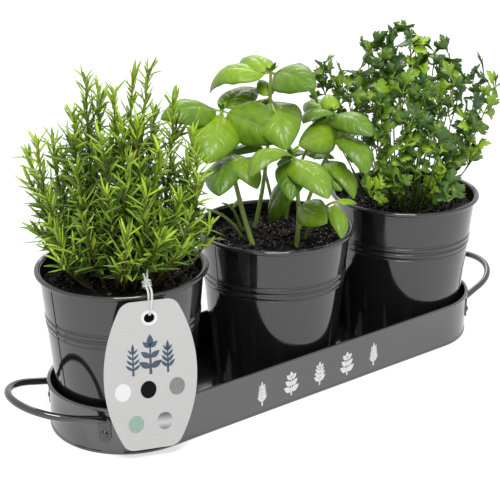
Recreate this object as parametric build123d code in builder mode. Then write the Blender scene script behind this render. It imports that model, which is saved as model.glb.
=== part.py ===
from build123d import *
import math
import os

os.makedirs("parts", exist_ok=True)

# An indoor herb planter: three tapered steel pots in a long tray with a wire
# handle at each end, planted with rosemary, basil and parsley. All lengths are
# in millimetres. X runs along the tray, the front is -Y, and the origin is on
# the table under the middle of the tray.

# Clearances
lift_gap = 0.3
fixed_gap = 0.1
overrun = 2.0

# Tray
tray_straight = 239.6
tray_radius = 49.8
tray_height = 31.4
tray_sheet = 0.8
hem_radius = 1.4
hem_outset = 0.1
lip_height = 1.8
lip_depth = 0.5

# Handles and their rivets
rod_radius = 2.3
handle_foot_width = 65.6
handle_tip_width = 57.8
handle_reach = 42.7
handle_bend = 31.3
handle_height = 24.2
handle_tilt = 16.1
ear_width = 8.0
ear_thickness = 1.2
ear_bottom = 8.2
ear_top = 25.4
ear_corner = 3.6
rivet_height = 14.0
rivet_shank = 1.5
rivet_head = 2.4
rivet_dome = 1.4
rivet_tail = 0.7

# Pots
pot_pitch = 121.0
pot_rim_radius = 54.0
pot_foot_radius = 41.9
pot_top = 106.2
pot_sheet = 0.8
rim_bead = 1.6
rim_overhang = 3.0
rib_middle = 74.0
rib_pitch = 4.4
rib_proud = 0.5
groove_depth = 0.35
groove_half = 0.8
lap_width = 3.6
lap_thickness = 0.35
pot_base_recess = 2.4
drain_radius = 4.0

# Soil
soil_drop = 9.2

# Swing tag and its cord
tag_turn = -21.0
tag_width = 56.6
tag_height = 97.4
tag_top_width = 31.0
tag_corner = 8.0
tag_card = 0.6
tag_bottom = 6.6
tag_offset = 4.7
tag_standoff = 56.8
eyelet_drop = 10.8
eyelet_hole = 3.2
eyelet_wall = 0.4
eyelet_ring = 4.9
eyelet_flange = 0.2
cord_radius = 0.7
knot_radius = 2.6

# Herbs: each is one piece with the top of its root ball
root_radius = 38.0
root_depth = 5.0
rosemary_spread = 57.0
rosemary_height = 136.0
rosemary_stem = 1.3
needle_rise = 12.0
needle_reach = 10.5
needle_base = 3.6
needle_step = 10.0
needle_thickness = 0.9
basil_spread = 57.0
basil_height = 118.0
basil_stem = 1.4
basil_leaf_length = 50.0
basil_leaf_thickness = 0.8
basil_petiole = 1.2
basil_node = 2.3
basil_node_tilt = 50
parsley_spread = 55.0
parsley_height = 127.0
parsley_stalk = 1.8
parsley_leaf = 17.0
parsley_leaf_thickness = 0.7

# Places that follow from the sizes above
tray_half = tray_straight / 2
pot_bottom = tray_sheet + lift_gap
pot_height = pot_top - pot_bottom
wall_top_radius = pot_rim_radius - rim_overhang
wall_slope = (wall_top_radius - pot_foot_radius) / (pot_height - rim_overhang)
soil_top = pot_top - soil_drop


def wall_radius(height):
    """Outside radius of a pot's wall at a height above the table."""
    return pot_foot_radius + wall_slope * (height - pot_bottom)


def label_and_export(piece, name):
    piece.part.label = name
    export_step(piece.part, f"parts/{name}.step")


# Tray base
with BuildPart() as tray_base:
    with BuildSketch(Plane.XY):
        SlotCenterToCenter(tray_straight, 2 * (tray_radius - tray_sheet - fixed_gap))
    extrude(amount=tray_sheet)
label_and_export(tray_base, "tray_base")

# Tray wall: one strip with a rolled hem on top and a pressed lip at the foot
side_plane = Plane(origin=(tray_half, 0, 0), x_dir=(0, -1, 0), z_dir=(-1, 0, 0))
end_axis = Axis((tray_half, 0, 0), (0, 0, 1))

foot_angle = math.degrees(math.asin(handle_foot_width / 2 / tray_radius))


def wall_plane(side, angle, radius, height):
    """Plane on the round end's wall, facing outwards, with its Y axis up."""
    turn = math.radians(angle)
    out = Vector(side * math.cos(turn), math.sin(turn), 0)
    place = Vector(side * tray_half, 0, height) + out * radius
    return Plane(origin=place, x_dir=Vector(0, 0, 1).cross(out), z_dir=out)


def rivet_planes(side, radius):
    return [wall_plane(side, turn * foot_angle, radius, rivet_height) for turn in (-1, 1)]


with BuildPart() as tray_wall:
    with BuildSketch(side_plane) as wall_section:
        with BuildLine():
            Polyline(
                (tray_radius - tray_sheet, 0),
                (tray_radius + lip_depth, 0),
                (tray_radius + lip_depth, lip_height - lip_depth),
                (tray_radius, lip_height),
                (tray_radius, tray_height - hem_radius),
                (tray_radius - tray_sheet, tray_height - hem_radius),
                close=True,
            )
        make_face()
        with Locations((tray_radius + hem_outset, tray_height - hem_radius)):
            Circle(hem_radius)
    extrude(amount=tray_straight)
    revolve(wall_section.sketch, axis=end_axis, revolution_arc=90)
    mirror(about=Plane.YZ)
    mirror(about=Plane.XZ)
    with BuildSketch(*rivet_planes(-1, tray_radius), *rivet_planes(1, tray_radius)):
        Circle(rivet_shank + fixed_gap)
    extrude(amount=tray_sheet + overrun, both=True, mode=Mode.SUBTRACT)
label_and_export(tray_wall, "tray_wall")

# Handle: a bent rod whose ends are flattened into ears that follow the wall
ear_seat = tray_radius + fixed_gap
hem_edge = tray_radius + hem_outset + hem_radius
leg_start = math.sqrt(hem_edge**2 - (handle_foot_width / 2) ** 2)
tilt = math.radians(handle_tilt)
handle_plane = Plane(
    origin=(tray_half + leg_start, 0, handle_height),
    x_dir=(math.cos(tilt), 0, math.sin(tilt)),
    z_dir=(-math.sin(tilt), 0, math.cos(tilt)),
)
leg_lead = 2 * rod_radius
leg_slant = (handle_foot_width - handle_tip_width) / 2 / handle_reach

ear_middle = (ear_top + ear_bottom) / 2

with BuildPart() as ears:
    with BuildSketch(*[wall_plane(1, turn * foot_angle, ear_seat, ear_middle) for turn in (-1, 1)]):
        RectangleRounded(ear_width, ear_top - ear_bottom, ear_corner)
    extrude(amount=ear_thickness + overrun, both=True)
    with BuildSketch(Plane.XY):
        with Locations((tray_half, 0)):
            Circle(ear_seat + ear_thickness)
    extrude(amount=tray_height, mode=Mode.INTERSECT)

with BuildPart() as handle_right:
    with BuildLine(handle_plane) as handle_route:
        FilletPolyline(
            (-leg_lead, handle_foot_width / 2 + leg_lead * leg_slant),
            (handle_reach, handle_tip_width / 2),
            (handle_reach, -handle_tip_width / 2),
            (-leg_lead, -handle_foot_width / 2 - leg_lead * leg_slant),
            radius=handle_bend,
        )
    with BuildSketch(Plane(origin=handle_route.line @ 0, z_dir=handle_route.line % 0)):
        Circle(rod_radius)
    sweep()
    add(ears.part)
    with BuildSketch(Plane.XY):
        with Locations((tray_half, 0)):
            Circle(ear_seat)
    extrude(amount=tray_height + handle_reach, mode=Mode.SUBTRACT)
    with BuildSketch(*rivet_planes(1, ear_seat)):
        Circle(rivet_shank + fixed_gap)
    extrude(amount=ear_thickness + overrun, both=True, mode=Mode.SUBTRACT)
label_and_export(handle_right, "handle_right")

with BuildPart() as handle_left:
    mirror(handle_right.part, about=Plane.YZ)
label_and_export(handle_left, "handle_left")

# Rivets: a domed head outside, a shank through ear and wall, a flat tail inside
head_seat = ear_seat + ear_thickness + fixed_gap
tail_seat = tray_radius - tray_sheet - fixed_gap
dome_ball = (rivet_head**2 + rivet_dome**2) / (2 * rivet_dome)

for side, name in ((-1, "rivets_left"), (1, "rivets_right")):
    with BuildPart() as rivets:
        for plane in rivet_planes(side, head_seat):
            with BuildSketch(Plane(origin=plane.origin, x_dir=plane.z_dir, z_dir=plane.x_dir)):
                with BuildLine():
                    edge = Polyline(
                        (0, 0),
                        (tail_seat - rivet_tail - head_seat, 0),
                        (tail_seat - rivet_tail - head_seat, rivet_head),
                        (tail_seat - head_seat, rivet_head),
                        (tail_seat - head_seat, rivet_shank),
                        (0, rivet_shank),
                        (0, rivet_head),
                    )
                    RadiusArc(edge @ 1, (rivet_dome, 0), dome_ball)
                    Line((rivet_dome, 0), (0, 0))
                make_face()
            revolve(axis=Axis(plane.origin, plane.z_dir))
    label_and_export(rivets, name)


# Pots: a tapered wall with a rolled rim and three grooves, and a base let in
def pot_wall_outline(outset, top):
    """Closed outline of the wall's section, from its foot to its top."""
    foot = wall_radius(pot_bottom)
    crest = wall_radius(top)
    grooves = [rib_middle + step * rib_pitch for step in (-1, 0, 1)]
    with BuildLine() as outline:
        start = (foot + outset, pot_bottom)
        for index, height in enumerate(grooves):
            low = height - groove_half
            high = height + groove_half
            floor = (wall_radius(height) + outset - groove_depth, height)
            lower = (wall_radius(low) + outset, low)
            upper = (wall_radius(high) + outset, high)
            if index == 0:
                Line(start, lower)
            else:
                middle = height - rib_pitch / 2
                ThreePointArc(start, (wall_radius(middle) + outset + rib_proud, middle), lower)
            ThreePointArc(lower, floor, upper)
            start = upper
        Polyline(
            start,
            (crest + outset, top),
            (crest - pot_sheet, top),
            (foot - pot_sheet, pot_bottom),
            (foot + outset, pot_bottom),
        )
    return outline.edges()


pot_names = ("left", "middle", "right")
pot_places = [(index - 1) * pot_pitch for index in range(len(pot_names))]
base_top = pot_bottom + pot_base_recess + pot_sheet
rim_centre = pot_rim_radius - rim_bead
rim_height = pot_top - rim_bead

for name, place in zip(pot_names, pot_places):
    pot_axis = Axis((place, 0, 0), (0, 0, 1))
    section_plane = Plane(origin=(place, 0, 0), x_dir=(1, 0, 0), z_dir=(0, -1, 0))
    lap_start = math.radians(180 - math.degrees(lap_width / wall_radius(rib_middle)) / 2)
    lap_plane = Plane(
        origin=(place, 0, 0),
        x_dir=(math.cos(lap_start), math.sin(lap_start), 0),
        z_dir=(math.sin(lap_start), -math.cos(lap_start), 0),
    )
    with BuildPart() as pot_wall:
        with BuildSketch(section_plane):
            make_face(pot_wall_outline(0, rim_height))
            with Locations((rim_centre, rim_height)):
                Circle(rim_bead)
        revolve(axis=pot_axis)
        with BuildSketch(lap_plane):
            make_face(pot_wall_outline(lap_thickness, rim_height))
        revolve(axis=pot_axis, revolution_arc=math.degrees(lap_width / wall_radius(rib_middle)))
    label_and_export(pot_wall, f"pot_{name}_wall")

    with BuildPart() as pot_base:
        with BuildSketch(Plane.XY.offset(base_top - pot_sheet)):
            with Locations((place, 0)):
                Circle(wall_radius(base_top - pot_sheet) - pot_sheet - fixed_gap)
                Circle(drain_radius, mode=Mode.SUBTRACT)
        extrude(amount=pot_sheet)
    label_and_export(pot_base, f"pot_{name}_base")

    soil_bottom = base_top + lift_gap
    with BuildPart() as soil:
        with BuildSketch(section_plane):
            with BuildLine():
                Polyline(
                    (0, soil_bottom),
                    (wall_radius(soil_bottom) - pot_sheet - lift_gap, soil_bottom),
                    (wall_radius(soil_top) - pot_sheet - lift_gap, soil_top),
                    (0, soil_top),
                    close=True,
                )
            make_face()
        revolve(axis=pot_axis)
        with BuildSketch(Plane.XY.offset(soil_top)):
            with Locations((place, 0)):
                Circle(root_radius + fixed_gap)
        extrude(amount=-root_depth - fixed_gap, mode=Mode.SUBTRACT)
    label_and_export(soil, f"soil_{name}")

# Swing tag: a card hung in front of the left pot, turned a little to its left
left_place = pot_places[0]
tag_out = Vector(math.sin(math.radians(tag_turn)), -math.cos(math.radians(tag_turn)), 0)
tag_along = Vector(math.cos(math.radians(tag_turn)), math.sin(math.radians(tag_turn)), 0)


def tag_point(out, along, height):
    """Point given by its distance from the left pot's axis, its place across the tag and its height."""
    return Vector(left_place, 0, height) + tag_out * out + tag_along * along


tag_top = tag_bottom + tag_height
eyelet_height = tag_top - eyelet_drop
tag_plane = Plane(
    origin=tag_point(tag_standoff, tag_offset, tag_bottom + tag_height / 2),
    x_dir=tag_along,
    z_dir=tag_out,
)
eyelet_plane = Plane(
    origin=tag_point(tag_standoff, tag_offset, eyelet_height), x_dir=tag_along, z_dir=tag_out
)

with BuildPart() as tag_card_piece:
    with BuildSketch(tag_plane) as card_outline:
        with BuildLine():
            top_left = (-tag_top_width / 2, tag_height / 2)
            top_right = (tag_top_width / 2, tag_height / 2)
            bottom_right = (tag_top_width / 2, -tag_height / 2)
            bottom_left = (-tag_top_width / 2, -tag_height / 2)
            Line(top_left, top_right)
            ThreePointArc(top_right, (tag_width / 2, 0), bottom_right)
            Line(bottom_right, bottom_left)
            ThreePointArc(bottom_left, (-tag_width / 2, 0), top_left)
        make_face()
        fillet(card_outline.vertices(), tag_corner)
    extrude(amount=tag_card / 2, both=True)
    with BuildSketch(eyelet_plane):
        Circle(eyelet_hole + eyelet_wall + fixed_gap)
    extrude(amount=tag_card + overrun, both=True, mode=Mode.SUBTRACT)
label_and_export(tag_card_piece, "tag_card")

eyelet_seat = tag_card / 2
with BuildPart() as tag_eyelet:
    with BuildSketch(eyelet_plane):
        Circle(eyelet_hole + eyelet_wall)
    extrude(amount=eyelet_seat, both=True)
    with BuildSketch(eyelet_plane.offset(eyelet_seat), eyelet_plane.offset(-eyelet_seat - eyelet_flange)):
        Circle(eyelet_ring)
    extrude(amount=eyelet_flange)
    with BuildSketch(eyelet_plane):
        Circle(eyelet_hole)
    extrude(amount=eyelet_ring, both=True, mode=Mode.SUBTRACT)
label_and_export(tag_eyelet, "tag_eyelet")

# Cord: from the knot over the rim, down in front of the card, through the eyelet
# and back up behind the card to the knot
cord_route = [
    (45.2, 7.6, 108.6),
    (49.6, 7.5, 109.1),
    (54.7, 7.2, 108.7),
    (58.2, 6.5, 105.6),
    (58.9, 5.6, 100.6),
    (58.8, 5.0, 95.4),
    (54.8, 4.5, 95.4),
    (54.9, 4.9, 100.8),
    (54.8, 5.3, 107.0),
    (50.6, 5.6, 108.5),
    (45.2, 5.7, 108.4),
]
tail_route = [(41.6, 7.4, 110.1), (38.6, 8.4, 112.5), (34.6, 9.3, 113.2)]
knot_place = (43.2, 6.7, 108.2)


bend_share = 0.45


def bend_radii(points):
    """Radius for each corner, as large as the two runs beside it allow."""
    radii = []
    for before, corner, after in zip(points, points[1:], points[2:]):
        run_in = corner - before
        run_out = after - corner
        half_turn = math.radians(run_in.get_angle(run_out)) / 2
        radii.append(bend_share * min(run_in.length, run_out.length) / math.tan(half_turn))
    return radii


cord_points = [tag_point(*point) for point in cord_route]
cord_radii = bend_radii(cord_points)
with BuildPart() as tag_cord:
    with BuildLine() as cord_line:
        FilletPolyline(*cord_points, radius=cord_radii)
    with BuildSketch(Plane(origin=cord_line.line @ 0, z_dir=cord_line.line % 0)):
        Circle(cord_radius)
    sweep()
label_and_export(tag_cord, "tag_cord")
cord_length = sum(edge.length for edge in cord_line.edges())
cord_section = math.pi * cord_radius**2
print("cord length", round(cord_length, 1), "radii", [round(radius, 1) for radius in cord_radii])
print("cord volume share", round(tag_cord.part.volume / (cord_section * cord_length), 4))

tail_points = [tag_point(*point) for point in [knot_place, *tail_route]]
with BuildPart() as cord_knot:
    with Locations(tail_points[0]):
        Sphere(knot_radius)
    with BuildLine() as tail_line:
        FilletPolyline(*tail_points, radius=bend_radii(tail_points))
    with BuildSketch(Plane(origin=tail_line.line @ 0, z_dir=tail_line.line % 0)):
        Circle(cord_radius)
    sweep()
label_and_export(cord_knot, "cord_knot")


# Herbs: shares run across, front to back and up from the soil
def herb_point(place, spread, height, shares):
    """Point among a herb's leaves, from shares of its spread and its height above the soil."""
    across, deep, high = shares
    return Vector(place + across * spread, deep * spread, soil_top + high * height)


def herb_foot(place, spread, shares):
    """Point below a leaf or tip where its stem leaves the root ball."""
    across, deep, high = shares
    low = herb_point(place, spread, 0, (foot_share * across, foot_share * deep, high))
    return low - Vector(0, 0, root_depth / 2)


def leaf_plane(base, azimuth, pitch, roll):
    """Plane of a leaf: X runs from its base to its tip, Z is its upper side."""
    turn = math.radians(azimuth)
    rise = math.radians(pitch)
    lean = math.radians(roll)
    heading = Vector(math.cos(turn) * math.cos(rise), math.sin(turn) * math.cos(rise), math.sin(rise))
    side = Vector(-math.sin(turn), math.cos(turn), 0)
    upper = heading.cross(side) * math.cos(lean) + side * math.sin(lean)
    return Plane(origin=base, x_dir=heading, z_dir=upper)


foot_share = 0.42
golden_turn = 137.5

# Rosemary: stiff upright sprigs, each with its needles on both sides
rosemary_tip_shares = [
    (-0.15, 0.35, 0.96), (0.10, 0.50, 0.88), (-0.05, -0.05, 0.92), (0.20, -0.05, 0.98),
    (0.40, -0.05, 1.00), (0.60, 0.15, 0.78), (0.55, -0.30, 0.88), (-0.30, 0.40, 0.82),
    (-0.75, 0.45, 0.70), (-0.45, 0.65, 0.68), (-0.25, 0.80, 0.58), (-0.60, 0.95, 0.58),
    (-0.80, 0.60, 0.52), (0.70, -0.45, 0.72), (0.65, -0.60, 0.64), (0.60, -0.70, 0.54),
    (0.70, -0.80, 0.32), (-0.05, -0.20, 0.80), (0.10, -0.30, 0.80), (-0.35, -0.25, 0.76),
    (0.15, -0.60, 0.70), (-0.20, -0.55, 0.68), (-0.55, -0.05, 0.62), (-0.80, 0.20, 0.48),
    (-0.85, 0.50, 0.30), (-0.85, -0.05, 0.34), (-0.45, -0.50, 0.54), (-0.15, -0.80, 0.54),
    (0.30, -0.80, 0.50), (0.35, -0.90, 0.40), (-0.70, -0.40, 0.44), (-0.40, -0.80, 0.38),
    (-0.05, -0.95, 0.36), (-0.90, -0.15, 0.22), (0.20, -1.00, 0.28), (0.20, 0.80, 0.62),
    (0.45, 0.60, 0.58), (-0.10, 0.70, 0.72), (0.70, 0.45, 0.46), (0.80, 0.10, 0.40),
    (0.55, 0.85, 0.36), (-0.35, 0.95, 0.40), (0.10, 1.00, 0.32),
]
bare_share = 0.22


def sprig_outline(length):
    """A stem with needles on both sides, as points along X from its foot to its tip."""
    start = bare_share * length
    count = int((length - start - needle_rise) / needle_step) + 1
    side = [(0, rosemary_stem)]
    for index in range(count):
        root = start + index * needle_step
        side.append((root, rosemary_stem))
        side.append((root + needle_rise, needle_reach))
        side.append((root + needle_base, rosemary_stem))
    side = [point for point in side if point[0] < length]
    return side + [(length, 0)] + [(x, -y) for x, y in reversed(side)]


with BuildPart() as rosemary:
    with BuildSketch(Plane.XY.offset(soil_top - root_depth)):
        with Locations((left_place, 0)):
            Circle(root_radius)
    extrude(amount=root_depth)
    for index, shares in enumerate(rosemary_tip_shares):
        foot = herb_foot(left_place, rosemary_spread, (shares[0], shares[1], 0))
        stem = herb_point(left_place, rosemary_spread, rosemary_height, shares) - foot
        turn = math.radians(index * golden_turn)
        flat = stem.cross(Vector(math.cos(turn), math.sin(turn), 0))
        with BuildSketch(Plane(origin=foot, x_dir=stem, z_dir=flat)):
            with BuildLine():
                Polyline(*sprig_outline(stem.length), close=True)
            make_face()
    extrude(amount=needle_thickness / 2, both=True)
label_and_export(rosemary, "rosemary")

# Basil: soft stems, each named, and large leaves that arch and droop at the tip
middle_place = pot_places[1]
basil_stem_shares = {
    "tall": ((0, 0.40, 0), (0.11, 0.30, 0.41), (0.01, 0.10, 0.95)),
    "left": ((-0.37, -0.09, 0), (-0.45, 0.15, 0.33), (-0.42, 0.47, 0.73)),
    "front": ((-0.02, -0.43, 0), (-0.02, -0.46, 0.27), (-0.09, -0.42, 0.54)),
    "right": ((0.39, 0.03, 0), (0.58, -0.10, 0.33), (0.77, -0.28, 0.59)),
    "low": ((0.25, -0.25, 0), (0.14, -0.62, 0.20), (0.19, -0.84, 0.30)),
    "bare": ((-0.28, 0.25, 0), (-0.52, 0.23, 0.13), (-0.65, 0.46, 0.17)),
    "far_right": ((0.50, 0.40, 0), (0.52, 0.15, 0.38), (0.75, -0.15, 0.69)),
    "seedling": ((-0.15, 0.45, 0), (-0.28, 0.37, 0.10), (-0.40, 0.30, 0.17)),
    "back": ((0.38, 0.42, 0), (0.25, 0.60, 0.40), (0.14, 0.79, 0.64)),
}
# Stem, share of the way up it, azimuth, pitch and roll, the share of the longest leaf,
# and half the leaf's width and its arch as shares of its length
basil_leaf_shares = [
    ("tall", 1.00, 118, -23, 14, 0.96, 0.33, 0.26),
    ("tall", 1.00, 82, 1, 8, 0.76, 0.30, 0.14),
    ("tall", 1.00, -88, -4, -38, 0.88, 0.33, 0.14),
    ("tall", 1.00, -5, -35, -20, 0.92, 0.27, 0.20),
    ("tall", 0.84, 83, 5, -12, 0.40, 0.30, 0.10),
    ("tall", 0.84, -114, -30, -16, 0.98, 0.37, 0.16),
    ("left", 1.00, 178, 1, 30, 0.94, 0.33, 0.18),
    ("left", 1.00, -139, -30, 14, 0.98, 0.40, 0.14),
    ("left", 1.00, -74, -12, -54, 1.10, 0.31, 0.12),
    ("left", 1.00, 16, 11, -6, 0.78, 0.36, 0.14),
    ("left", 0.72, -99, -22, 4, 0.84, 0.31, 0.14),
    ("left", 0.72, -135, -25, -16, 0.88, 0.36, 0.12),
    ("left", 0.72, 13, -13, 28, 0.72, 0.33, 0.14),
    ("front", 1.00, -130, -28, 0, 0.80, 0.29, 0.12),
    ("front", 1.00, -164, -5, -10, 0.90, 0.30, 0.26),
    ("front", 1.00, -101, -18, -2, 1.00, 0.31, 0.14),
    ("front", 0.84, 93, -61, 72, 0.96, 0.27, 0.12),
    ("front", 0.50, -99, -4, -46, 0.72, 0.33, 0.14),
    ("right", 1.00, 89, 6, 16, 0.60, 0.33, 0.12),
    ("right", 1.00, -174, -2, 62, 0.82, 0.31, 0.12),
    ("right", 1.00, -109, -23, 12, 0.92, 0.31, 0.20),
    ("right", 1.00, 22, -58, -30, 0.62, 0.33, 0.12),
    ("right", 0.72, -112, -23, -22, 0.70, 0.33, 0.14),
    ("right", 0.72, -102, -25, 18, 0.84, 0.29, 0.18),
    ("far_right", 1.00, -93, -10, -12, 0.84, 0.33, 0.16),
    ("far_right", 1.00, 85, -3, 20, 0.68, 0.33, 0.12),
    ("far_right", 1.00, -167, -2, -4, 0.66, 0.33, 0.18),
    ("low", 1.00, -122, -26, 22, 0.66, 0.27, 0.14),
    ("tall", 1.00, 85, -7, 0, 0.72, 0.33, 0.14),
    ("tall", 0.84, 74, 21, 0, 0.40, 0.33, 0.14),
    ("tall", 0.84, 89, -38, 0, 0.68, 0.33, 0.14),
    ("left", 0.72, 79, -20, 0, 0.60, 0.33, 0.14),
    ("left", 1.00, 120, -15, 0, 0.60, 0.33, 0.14),
    ("front", 1.00, 69, -39, 0, 0.48, 0.33, 0.14),
    ("right", 0.72, 56, -17, 0, 0.52, 0.33, 0.14),
    ("far_right", 1.00, 60, 18, 0, 0.44, 0.33, 0.14),
    ("far_right", 0.61, 78, -19, 0, 0.60, 0.33, 0.14),
    ("far_right", 0.61, 30, -21, -10, 0.52, 0.33, 0.14),
    ("low", 1.00, -10, -14, 0, 0.36, 0.33, 0.14),
    ("back", 1.00, 89, -34, 0, 0.68, 0.33, 0.14),
    ("back", 1.00, -99, 8, 0, 0.52, 0.33, 0.14),
    ("back", 1.00, 63, 31, 0, 0.40, 0.33, 0.14),
    ("back", 0.60, -152, 1, 0, 0.52, 0.33, 0.14),
    ("seedling", 1.00, 173, 32, 0, 0.20, 0.33, 0.14),
    ("seedling", 1.00, -16, 37, 0, 0.20, 0.33, 0.14),
]
leaf_shoulder_share = 0.42


def basil_leaf(plane, length, half, bow):
    """A leaf bent along its length and cut to an outline with a point at each end."""
    start = -basil_petiole
    side_plane = Plane(origin=plane.origin, x_dir=plane.x_dir, z_dir=-plane.y_dir)
    with BuildPart() as leaf:
        with BuildSketch(side_plane):
            with BuildLine():
                ThreePointArc((start, 0), (length / 2, bow), (length, 0))
                Line((length, 0), (length, -basil_leaf_thickness))
                ThreePointArc(
                    (length, -basil_leaf_thickness),
                    (length / 2, bow - basil_leaf_thickness),
                    (start, -basil_leaf_thickness),
                )
                Line((start, -basil_leaf_thickness), (start, 0))
            make_face()
        extrude(amount=half + basil_petiole, both=True)
        with BuildSketch(plane):
            with BuildLine():
                ThreePointArc((start, 0), (leaf_shoulder_share * length, half), (length, 0))
                ThreePointArc((length, 0), (leaf_shoulder_share * length, -half), (start, 0))
            make_face()
        extrude(amount=bow + basil_petiole, both=True, mode=Mode.INTERSECT)
    return leaf.part


basil_stems = {}
for name, shares in basil_stem_shares.items():
    points = [herb_point(middle_place, basil_spread, basil_height, share) for share in shares]
    points[0] = points[0] - Vector(0, 0, root_depth / 2)
    with BuildLine() as stem_line:
        ThreePointArc(*points)
    basil_stems[name] = stem_line.line

basil_leaves = []
for name, share, azimuth, pitch, roll, length_share, half_share, bow_share in basil_leaf_shares:
    plane = leaf_plane(basil_stems[name] @ share, azimuth, pitch, roll)
    length = length_share * basil_leaf_length
    basil_leaves.append(basil_leaf(plane, length, half_share * length, bow_share * length))

with BuildPart() as basil:
    with BuildSketch(Plane.XY.offset(soil_top - root_depth)):
        with Locations((middle_place, 0)):
            Circle(root_radius)
    extrude(amount=root_depth)
    for stem in basil_stems.values():
        with BuildSketch(Plane(origin=stem @ 0, z_dir=stem % 0)):
            Circle(basil_stem)
        sweep(path=stem)
    for name, share in sorted({leaf[:2] for leaf in basil_leaf_shares}):
        with Locations(basil_stems[name] @ share):
            Sphere(basil_node, rotation=(basil_node_tilt, 0, 0))
    add(basil_leaves)
label_and_export(basil, "basil")

# Parsley: thin stalks, each with a three-lobed leaf at its tip, and some with a second
right_place = pot_places[2]
parsley_tip_shares = [
    (-0.80, 0.90, 0.77), (-0.80, 0.60, 0.74), (-0.35, 0.45, 0.90), (-0.15, 0.30, 0.97),
    (0.00, 0.00, 1.00), (0.35, 0.25, 0.89), (0.40, -0.05, 0.87), (0.35, -0.35, 0.87),
    (0.75, -0.25, 0.72), (0.80, -0.55, 0.74), (0.80, -0.75, 0.69), (-0.35, -0.05, 0.77),
    (-0.40, 0.15, 0.85), (-0.65, 0.25, 0.80), (0.00, -0.35, 0.77), (0.20, -0.60, 0.75),
    (-0.90, 0.20, 0.69), (-0.45, -0.35, 0.72), (-0.25, -0.55, 0.71), (-0.05, -0.65, 0.67),
    (0.55, -0.75, 0.58), (0.35, -0.80, 0.51), (-0.55, -0.60, 0.57), (-0.35, -0.75, 0.51),
    (-0.75, -0.25, 0.67), (-0.80, -0.20, 0.50), (0.60, -0.75, 0.35), (0.05, -0.75, 0.26),
    (-0.70, -0.60, 0.45), (-0.25, -0.85, 0.42), (-0.05, -0.70, 0.17), (-0.10, -0.90, 0.14),
    (-0.80, -0.20, 0.15), (-0.65, -0.50, 0.23), (-0.60, -0.25, 0.28), (-0.45, -0.65, 0.31),
    (0.15, -0.80, 0.38), (0.20, 0.70, 0.70), (-0.20, 0.80, 0.60), (0.55, 0.55, 0.65),
    (0.70, 0.20, 0.50), (0.45, 0.85, 0.40), (0.00, 0.95, 0.45), (-0.50, 0.95, 0.40),
    (0.80, 0.05, 0.30), (0.10, 0.45, 0.88),
]
# Half of a leaf's outline, along its length and out from its middle
lobe_shares = [(-0.50, 0.05), (-0.20, 0.20), (-0.32, 0.50), (0.05, 0.42), (0.12, 0.16), (0.50, 0)]
second_leaf_share = 0.76
parsley_turn = 35
parsley_rise = 20
parsley_rise_change = 15
parsley_roll = 20
second_leaf_turn = 75
second_leaf_rise = 25

parsley_leaves = []
parsley_stalks = []
for index, shares in enumerate(parsley_tip_shares):
    foot = herb_foot(right_place, parsley_spread, (shares[0], shares[1], 0))
    tip = herb_point(right_place, parsley_spread, parsley_height, shares)
    azimuth = math.degrees(math.atan2(shares[1], shares[0]))
    wander = math.sin(math.radians(index * golden_turn))
    parsley_stalks.append((foot, tip))
    turn = azimuth + parsley_turn * wander
    rise = parsley_rise + parsley_rise_change * wander
    parsley_leaves.append(leaf_plane(tip, turn, rise, parsley_roll * wander))
    if index % 2 == 0:
        middle = foot + (tip - foot) * second_leaf_share
        turn = azimuth - second_leaf_turn * wander
        parsley_leaves.append(leaf_plane(middle, turn, second_leaf_rise, 0))

with BuildPart() as parsley:
    with BuildSketch(Plane.XY.offset(soil_top - root_depth)):
        with Locations((right_place, 0)):
            Circle(root_radius)
    extrude(amount=root_depth)
    for foot, tip in parsley_stalks:
        stalk = tip - foot
        with BuildSketch(Plane(origin=foot, x_dir=stalk, z_dir=stalk.cross(tag_along))):
            with Locations((stalk.length / 2, 0)):
                Rectangle(stalk.length, parsley_stalk)
    extrude(amount=parsley_stalk / 2, both=True)
    with BuildSketch(*parsley_leaves):
        with BuildLine():
            half = [(x * parsley_leaf, y * parsley_leaf) for x, y in lobe_shares]
            Polyline(*half, *[(x, -y) for x, y in reversed(half[:-1])], close=True)
        make_face()
    extrude(amount=parsley_leaf_thickness / 2, both=True)
label_and_export(parsley, "parsley")
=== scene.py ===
# %% [markdown]
# # A black tray of kitchen herbs
# The real object is a long tin tray with rounded ends and a wire handle at each end.
# Three tapered tin pots stand in it, with rosemary, basil and parsley growing in dark soil.
# A paper tag hangs on a white cord from the rosemary. The tin parts come from the CAD model,
# and this lesson gives them their paint. The soil, the herbs, the cord and the printing are
# made here, because their shapes are too loose or too fine for CAD.

# %% Load the fixed frame
import math
import random

import bpy
import numpy as np
from mathutils import Matrix, Vector, noise
from mathutils.bvhtree import BVHTree
from mathutils.geometry import tessellate_polygon


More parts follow.
